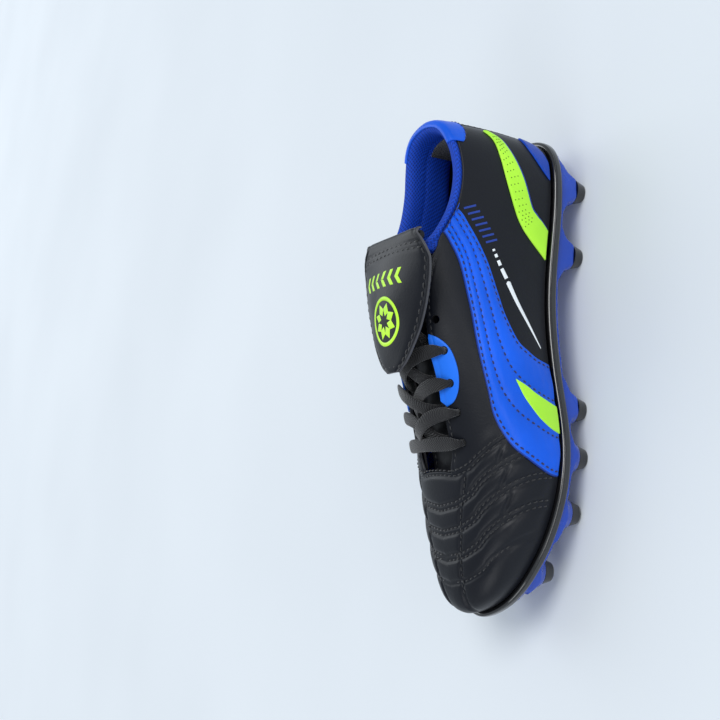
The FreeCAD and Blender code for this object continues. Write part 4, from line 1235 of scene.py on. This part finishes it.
points, n = flap_shell(0, True)
along_y, half = points[..., 1], flap_width(points[..., 1])
inset = half - np.abs(points[..., 0] - flap_middle(along_y))
cushion = (.22 * smooth((inset - 2) / 4) + groove(inset - 2.6, .38, .65)
           + groove(along_y - FOLD_Y - 4, .3, .7) + groove(along_y - FOLD_Y - 6.5, .3, .7)
           + .10 * np.sin(along_y * .31 + .5) * np.sin(points[..., 0] * .22 + 1.2))
build("flap_outer", plate(points, n, .95, 1.2, .75, cushion), "flap", "flap", ["flap_outer"])
points, n = flap_shell(1.3, False)
build("flap_backing", plate(points, n, .0, .95, .5), "backing", "flap", ["flap_backing"])

# stitching: one row round the edge, two rows along the fold
rows = []
y = np.linspace(FOLD_Y + 6.5, 6.2, 160) * LONG
left = flap_middle(y) - flap_width(y) + 2.6
right = flap_middle(y) + flap_width(y) - 2.6
ex = np.concatenate([left, np.linspace(left[-1], right[-1], 24)[1:-1], right[::-1]])
ey = np.concatenate([y, np.full(22, y[-1]), y[::-1]])
p, n = flap_with_normal(ex, ey)
FLAP_STITCH = (.05, 2.7, 1.3, .33)
rows.append(stitched(p + n * FLAP_SEAM_LEVEL, n, *FLAP_STITCH))
for back in (4.0, 6.5):
    y = np.full(120, (FOLD_Y + back) * LONG)
    reach_x = flap_width(y[0]) - 3.0
    p, n = flap_with_normal(np.linspace(FLAP_X - reach_x, FLAP_X + reach_x, 120), y)
    rows.append(stitched(p + n * FLAP_SEAM_LEVEL, n, *FLAP_STITCH))
build("flap_stitching", join(rows), "black_thread", "flap")


def on_flap(quad, count=(12, 6)):
    """Thin print over a four-cornered area of the flap, corners in order round it."""
    a, b, c, d = [np.array(q, float) for q in quad]
    u = np.linspace(0, 1, count[0])[:, None, None]
    v = np.linspace(0, 1, count[1])[None, :, None]
    xy = (a * (1 - u) + b * u) * (1 - v) + (d * (1 - u) + c * u) * v
    p, n = flap_with_normal(xy[..., 0], xy[..., 1])
    return plate(p, n, PRINT_LEVEL, PRINT_THICK, .2)


def ring_on_flap(cx, cy, inner, outer):
    w = np.linspace(0, 2 * math.pi, 97)[:, None]
    r = np.array([inner, inner + .1, (inner + outer) / 2, outer - .1, outer])[None, :]
    p, n = flap_with_normal(cx + r * np.cos(w), cy + r * np.sin(w))
    return plate(p, n, PRINT_LEVEL, PRINT_THICK, .2, soft=("u0", "u1"), skip=("u0", "u1"))


badge_x, badge_y = -2.0, -15.0 * LONG
prints = [ring_on_flap(badge_x, badge_y, 9.6, 11.4)]
for k in range(8):
    a = k * math.pi / 4 + .39
    petal = [(badge_x + r * math.cos(a + t), badge_y + r * math.sin(a + t))
             for r, t in ((2.4, 0), (5.7, .42), (8.7, 0), (5.7, -.42))]
    prints.append(on_flap(petal, (9, 9)))
build("flap_badge", join(prints), "print_lime", "flap", ["flap_badge"], weld=True)
bars = []
for k in range(6):
    x0 = -17.5 + 6.1 * k
    for y0 in (-38, -30.8):
        bars.append(on_flap([(x0, y0), (x0 + 2.6, -34.4), (x0 + 5.2, -34.4), (x0 + 2.6, y0)]))
build("flap_chevrons", join(bars), "print_lime", "flap")

# -------------------------------- lace
ABOVE, LACE_RUN = 2.85, -4.9


def eyelet(side, number, inward, off):
    y, t = EYELETS[number]
    s = s_at(side, y * LONG)
    here, ahead = skin(side, s, t), skin(side, s, min(1.0, t + .05))
    tt = t + inward / (np.linalg.norm(ahead - here) / .05)
    n = normals(side, s, tt)
    return skin(side, s, tt) + n * off, n, unit(here - ahead)


def crossing(y, off):
    s = s_at(-1, y * LONG)
    n = normals(-1, s, 1.0)
    return skin(-1, s, 1.0) + n * off, n


def dive(side, number, sign):
    """Lace down through an eyelet and inward under the edge: rows of point, up, width and thickness."""
    y, t = EYELETS[number]
    s = s_at(side, y * LONG)
    edge = np.linalg.norm(skin(side, s, t) - skin(side, s, quarter_top(side, s)))
    stops = [(3.4, ABOVE, 1, 0, 5.9, 1.25), (.6, ABOVE - .4, 1, .8, 3.4, 1.8), (-.2, -.8, .1, 1, 2.9, 2.1),
             (.2, -3.4, -.7, 1, 3.0, 1.9), (2.6, LACE_RUN - .1, -1, .1, 4.4, 1.2),
             (edge + .3, LACE_RUN, -1, 0, 5.6, 1.1), (edge + 3.2, LACE_RUN + 2.2, -1, 0, 6.4, 1.1)]
    out = []
    for inward, off, up, away, wide, thick in stops:
        p, n, o = eyelet(side, number, inward, off)
        out.append(np.concatenate([p, sign * unit(n * up + o * away), [wide, thick]]))
    return out


def strand(side, low, high):
    """One half of the lace, from its front eyelet to its tip."""
    rows, sign = [], 1
    for number in range(4, 0, -1):
        rows += dive(side, number, sign)
        sign = -sign
        if number > 1:
            y = (EYELETS[number][0] + EYELETS[number - 1][0]) / 2
            p, n = crossing(y, low if (number % 2 == 0) == (side < 0) else high)
            rows.append(np.concatenate([p, sign * n, [LACE_WIDTH, LACE_THICK]]))
            side = -side
    y = EYELETS[1][0]
    p, n = eyelet(side, 1, 11.0, -1.6)[:2]
    rows.append(np.concatenate([p + [0, -3, 0], sign * n, [5.0, 1.2]]))
    for step in range(4):
        p, n = crossing(y - 10 - 7 * step, -3.6)
        p = p + [side * (3.5 + step * .4), 0, 0]
        rows.append(np.concatenate([p, sign * n, [3.6 - .35 * step, 1.4 + .2 * step]]))
    return rows


def through(rows, spacing=.6, passes=13):
    """The same rows as a smooth dense path."""
    rows = np.array(rows)
    u = np.concatenate([[0], np.cumsum(np.linalg.norm(np.diff(rows[:, :3], axis=0), axis=1))])
    fine = np.linspace(0, u[-1], int(u[-1] / spacing))
    out = []
    for k in range(rows.shape[1]):
        bend = natural_spline(u, rows[:, k], *np.gradient(rows[:, k], u)[[0, -1]])
        if k > 2:
            bend = bend * .3
        out.append(spline_values(u, rows[:, k], bend, fine))
    fine = np.stack(out, -1)
    for _ in range(passes):
        fine[1:-1] = .25 * fine[:-2] + .5 * fine[1:-1] + .25 * fine[2:]
    return fine


def tape(path, count=22):
    """Flat woven tape along a path of point, up, width and thickness."""
    p, up, wide, thick = path[:, :3], path[:, 3:6], path[:, 6:7], path[:, 7:8]
    ahead = unit(np.gradient(p, axis=0))
    up = unit(up - ahead * np.sum(up * ahead, -1, keepdims=True))
    side = np.cross(ahead, up)
    w = circle(count) + math.pi / count
    c, s = np.cos(w), np.sin(w)
    x, y = np.sign(c) * np.abs(c) ** .75, np.sign(s) * np.abs(s) ** .55
    rib = 1 + .07 * np.sin(np.arange(len(p)) * 2.1)[:, None]
    flat, thin = (x * wide / 2)[..., None], (y * thick * rib / 2)[..., None]
    return p[:, None] + side[:, None] * flat + up[:, None] * thin


halves = [strand(side, 1.2, 4.4) for side in (-1, 1)]
p, n = crossing(EYELETS[4][0], ABOVE + .4)
bar = np.concatenate([p, n, [LACE_WIDTH, LACE_THICK]])
path = through(halves[0][::-1] + [bar] + halves[1])
build("lace", tube(tape(path)), "lace", nodes=["lace"])

lateral_x = (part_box("aglet_lateral")[0][0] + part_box("aglet_lateral")[1][0]) / 2 / MM - SHIFT[0]
medial_x = (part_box("aglet_medial")[0][0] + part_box("aglet_medial")[1][0]) / 2 / MM - SHIFT[0]
for end, before in ((path[0], path[3]), (path[-1], path[-4])):
    axis = unit(end[:3] - before[:3])
    name = "lateral" if abs(end[0] - lateral_x) < abs(end[0] - medial_x) else "medial"
    shape = turned([(.3, -.6), (1.15, -.55), (1.3, -.2), (1.3, 1.4), (1.16, 1.6), (1.16, 2.0), (1.3, 2.2),
                    (1.3, 9.6), (1.2, 10.8), (.95, 11.6), (.5, 11.95)], 28)
    turn = np.array(Vector((0, 0, 1)).rotation_difference(Vector(axis)).to_matrix())
    build("aglet_" + name, tube(shape @ turn.T + end[:3]), "aglet", nodes=["aglet_" + name])

# -------------------------------- sole
def loop_at(inset, count=LOOP_COUNT):
    """Closed outline of the sole, moved inward."""
    left = np.stack(inset_outline(-1, inset), -1)
    right = np.stack(inset_outline(1, inset), -1)
    line = np.concatenate([left, right[-2:0:-1]])
    total = arc(np.concatenate([line, line[:1]]), 0)
    at = np.linspace(0, total[-1], count, endpoint=False)
    return resampled(line, total[:-1], at, period=total[-1])


rows = [(12, -.32), (3.4, -.32), (1.7, -.34), (1.1, -.42), (.6, -.62), (.25, -.95), (.08, -1.35),
        (.28, -1.62), (.28, -1.78), (.06, -2.05), (0, -2.5), (0, -3.5), (.05, -4.0), (.22, -4.5),
        (.6, -4.92), (1.2, -5.14),
        (2.2, -5.2), (12, -5.2)]
rings = []
for inset, level in rows:
    xy = loop_at(inset)
    rings.append(np.stack([xy[:, 0], xy[:, 1], feather_z(xy[:, 1]) + level], -1))
rings = np.stack(rings)
faces = grid_faces(len(rows), LOOP_COUNT, closed_u=True, closed_v=True)
uv = np.stack([arc(rings, 0), arc(rings, 1)], -1).reshape(-1, 2)
build("sole_rim", (rings.reshape(-1, 3), faces, uv, np.zeros(len(uv))), "rim",
      nodes=["sole_rim"])

STUDS = [(-20, -91, 0), (-20.5, -58, 0), (20, -91, 0), (19.5, -58, 0), (-29.5, 18, 0), (-32, 41, 0),
         (-29.5, 67, .8), (-19, 94.5, 6.6), (24.5, 20, 0), (29.5, 45, 0), (28.5, 71, .8), (20.5, 96, 6.6)]
STUD_PAIRS = [(0, 2), (1, 3), (5, 9), (6, 10)]
PLATE_LOW, PLATE_TOP = -7.35, -5.35


def inside_outline(points, inset):
    """Points pulled in to the outline moved inward by inset."""
    for side in (-1, 1):
        x, y = inset_outline(side, inset)
        limit = np.interp(points[..., 1], y, np.abs(x))
        over = (points[..., 0] * side > 0) & (np.abs(points[..., 0]) > limit)
        points[..., 0] = np.where(over, side * limit, points[..., 0])
    return points


solids = []
left = np.stack(inset_outline(-1, PLATE_INSET), -1)[::40]
right = np.stack(inset_outline(1, PLATE_INSET), -1)[::40]
v = np.linspace(0, 1, 25)[None, :, None]
cx = left[:, None] * (1 - v) + right[:, None] * v
top = np.concatenate([cx, (feather_z(cx[..., 1]) + PLATE_TOP)[..., None]], -1)
low = np.concatenate([cx, (feather_z(cx[..., 1]) + PLATE_LOW)[..., None]], -1)
flat = np.concatenate([top.reshape(-1, 3), low.reshape(-1, 3)])
solids.append((flat, shell_faces(*cx.shape[:2]), flat[:, :2], np.zeros(len(flat))))
for x, y, tip in STUDS:
    foot = tip + STUD_BASE
    rise = feather_z(y * LONG) + PLATE_TOP - .6 - foot
    share = np.concatenate([[0, .03, .08], np.linspace(.16, 1, 14)])
    r = 5.25 + .42 * rise * share + .25 * np.minimum(share / .08, 1)
    flare = smooth((share - .45) / .55)
    rx, ry = r + 2.2 * flare, 1.2 * r + (4.5 if y < 90 else 1.5) * flare
    w = circle(40)
    ring = np.stack([x + rx[:, None] * np.cos(w), y * LONG + ry[:, None] * np.sin(w),
                     (foot + share * rise)[:, None] + 0 * w], -1)
    solids.append(tube(inside_outline(ring, PLATE_LIMIT)))
for a, b in STUD_PAIRS + [(0, 1), (2, 3)]:
    (xa, ya, za), (xb, yb, zb) = STUDS[a], STUDS[b]
    p = np.linspace(0, 1, 25)
    x, y = xa + (xb - xa) * p, (ya + (yb - ya) * p) * LONG
    roof = feather_z(y) + PLATE_TOP - .6
    arch = max(za, zb) + 9.0 + 5.5 * (1 - (2 * p - 1) ** 2)
    floor = np.minimum(feather_z(y) + PLATE_LOW + .2, arch)
    d = unit(np.array([[yb - ya, xa - xb, 0.0]]))
    wide = 2.5 + .8 * (2 * p - 1) ** 2
    ring = []
    for k, z, f in ((-1, roof, 1.5), (1, roof, 1.5), (1, floor + 1, 1.0), (.6, floor, 1.0),
                    (-.6, floor, 1.0), (-1, floor + 1, 1.0)):
        ring.append(np.stack([x, y, z], -1) + d * (k * wide * f)[:, None])
    solids.append(tube(inside_outline(np.stack(ring, 1), PLATE_LIMIT)))
# low ribs: three along the shank, chevrons under the forefoot and the heel
RIBS = ([[(3.2 * k - 1, -46), (4.6 * k - 1, -22), (8.5 * k - 1, 8)] for k in (-1, 0, 1)]
        + [[(-13, y - 4), (-1, y + 3), (11, y - 4)] for y in (26, 34, 52, 60, 80)]
        + [[(-8, y + 2.5), (0, y - 3), (8, y + 2.5)] for y in (-100, -80, -73, -66)])
for route in RIBS:
    route = np.array(route, float)
    total = arc(route, 0)
    at = np.linspace(0, total[-1], 41)
    x, y = np.interp(at, total, route[:, 0]), np.interp(at, total, route[:, 1]) * LONG
    ahead = unit(np.stack([np.gradient(x), np.gradient(y), 0 * x], -1))
    across = np.stack([-ahead[:, 1], ahead[:, 0], 0 * x], -1)
    base_z = feather_z(y) + PLATE_LOW
    rise = crown(np.minimum(at, at[-1] - at), 2.5)
    ring = [np.stack([x, y, base_z + (drop * rise if drop < 0 else drop)], -1) + across * w
            for w, drop in ((-1.3, .7), (-1.0, -.5), (-.5, -.9), (.5, -.9), (1.0, -.5), (1.3, .7))]
    solids.append(tube(np.stack(ring, 1)))
outsole = build("outsole_plate", join(solids), "plate", nodes=["outsole_plate"])
remesh = outsole.modifiers.new("remesh", "REMESH")
remesh.mode, remesh.voxel_size, remesh.use_smooth_shade = "VOXEL", .5 * MM, True
even = outsole.modifiers.new("even", "SMOOTH")
even.factor, even.iterations = .5, 4
apply_modifiers(outsole)

for number, (x, y, tip) in enumerate(STUDS):
    shape = turned([(.01, .4), (1.5, .4), (1.8, .12), (2.3, 0), (3.3, 0), (3.62, .12), (3.85, .45),
                    (3.98, 1.0), (5.02, 4.9), (5.18, 5.5), (5.2, 5.62), (.01, 5.62)], 56)
    name = "stud_tip_%02d" % (number + 1)
    build(name, tube(shape * [1, 1.2, 1] + np.array([x, y * LONG, tip])), "tip", nodes=[name])

# -------------------------------- inside of the shoe
def upright(points):
    """Normals that all point up."""
    return np.broadcast_to([0.0, 0.0, 1.0], points.shape)


def inner_sheet(inset, low, thick, cup):
    """Sheet over the inside of the sole, cupped at the heel."""
    left = np.stack(inset_outline(-1, inset), -1)
    right = np.stack(inset_outline(1, inset), -1)
    pick = np.linspace(0, 4000, 200).astype(int)
    left, right = left[pick], right[pick]
    v = spaced(60, 1.2, 1.2)[None, :, None]
    xy = left[:, None] * (1 - v) + right[:, None] * v
    wide = np.linalg.norm(left - right, axis=-1)[:, None]
    edge = np.minimum(v[..., 0], 1 - v[..., 0]) * wide
    lift = cup * smooth(1 - edge / 12) * smooth((20 - xy[..., 1]) / 60)
    points = np.concatenate([xy, (feather_z(xy[..., 1]) + lift)[..., None]], -1)
    return plate(points[2:-2], upright(points[2:-2]), low, thick, .6)


build("sockliner_foam", inner_sheet(7.3, 1.6, 3.2, 1.0), "foam", nodes=["sockliner_foam"])
build("sockliner_cover", inner_sheet(8.1, 4.95, 1.0, 1.0), "insole",
      nodes=["sockliner_cover"])


def on_cover(xy):
    z = feather_z(xy[..., 1]) + INSOLE_PRINT_LEVEL
    points = np.concatenate([xy, z[..., None]], -1)
    return points, upright(points)


w = np.linspace(0, 2 * math.pi, 81)[:, None]
r = np.array([8.2, 8.3, 8.8, 9.3, 9.4])[None, :]
p, n = on_cover(np.stack([r * np.cos(w), -74 + r * np.sin(w)], -1))
ring = plate(p, n, 0, .12, .15, soft=("u0", "u1"), skip=("u0", "u1"))
spots = np.array([(x, y) for y in (-78, -74, -70) for x in (-4, 0, 4)], float)
p, n = on_cover(spots)
build("insole_print", join([ring, dots(p, n, .9, .1)]), "print_white", weld=True)

for colour, rows in THREADS.items():
    build("stitching_" + colour, join(rows), colour + "_thread")

# parts that are only seen when the shoe is taken apart keep their CAD shape
CAD_FINISHES = {"insole_board": "board", "toe_puff": "stiffener", "heel_counter": "stiffener"}
for node_name, finish in CAD_FINISHES.items():
    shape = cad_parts[node_name]
    shape.data.materials.clear()
    shape.data.materials.append(M[finish])

# -------------------------------- floor, light and camera
floor_mesh = bpy.data.meshes.new("floor")
floor_mesh.from_pydata([(-30, -30, 0), (30, -30, 0), (30, 30, 0), (-30, 30, 0)], [], [(0, 1, 2, 3)])
floor = linked("floor", floor_mesh)
pale, tree, shader = fresh("floor_pale", Roughness=.85, Specular_IOR_Level=.2)
mottle = noise(tree, coordinates(tree), 3.0, 2.0)
shade = ramp(tree, mottle, (.3, (.70, .74, .78)), (.7, (.74, .78, .82)))
tree.links.new(shade, shader.inputs["Base Color"])
floor_mesh.materials.append(pale)

world = bpy.data.worlds.new("studio")
bpy.context.scene.world = world
world.use_nodes = True
world.node_tree.nodes["Background"].inputs["Color"].default_value = (.80, .88, .96, 1)
world.node_tree.nodes["Background"].inputs["Strength"].default_value = .52
bpy.context.scene.view_settings.view_transform = "Standard"

origin = Vector((SHIFT[0] * MM, 0, 0))
back = Vector((-.811, .148, .566)).normalized()
up = Vector((-.091, -.988, .128))
up = (up - back * up.dot(back)).normalized()
right = up.cross(back)
base = Matrix((right, up, back)).transposed()
aim = Vector((188, -19.2, -1220)).normalized()
turn = aim.rotation_difference(Vector((0, 0, -1))).to_matrix()
camera_data = bpy.data.cameras.new("camera")
camera_data.lens, camera_data.sensor_width = 61.0, 36.0
camera_data.clip_start, camera_data.clip_end = .01, 20
camera = linked("camera", camera_data)
camera.matrix_world = Matrix.Translation(origin + back * .616) @ (base @ turn).to_4x4()
bpy.context.scene.camera = camera


def area(name, place_, target, size, power, colour=(1, 1, 1)):
    data = bpy.data.lights.new(name, "AREA")
    data.shape, data.energy, data.color = "RECTANGLE", power, colour
    data.size, data.size_y = size
    lamp = linked(name, data)
    lamp.location = place_
    lamp.rotation_euler = (Vector(target) - Vector(place_)).to_track_quat("-Z", "Y").to_euler()


key = bpy.data.lights.new("key", "SUN")
key.energy, key.angle = 1.45, math.radians(32)
key_lamp = linked("key", key)
key_lamp.rotation_euler = Vector((.55, .35, -.9)).to_track_quat("-Z", "Y").to_euler()
area("rim_light", (2.25, -.75, 2.1), (0, 0, .05), (1.5, 2.7), 22, (.93, .97, 1))
area("toe_fill", (-1.05, 2.55, 1.65), (0, .05, .04), (1.8, 1.2), 19, (.96, .98, 1))
area("side_strip", (-2.7, .3, .84), (0, 0, .04), (2.7, .36), 16)
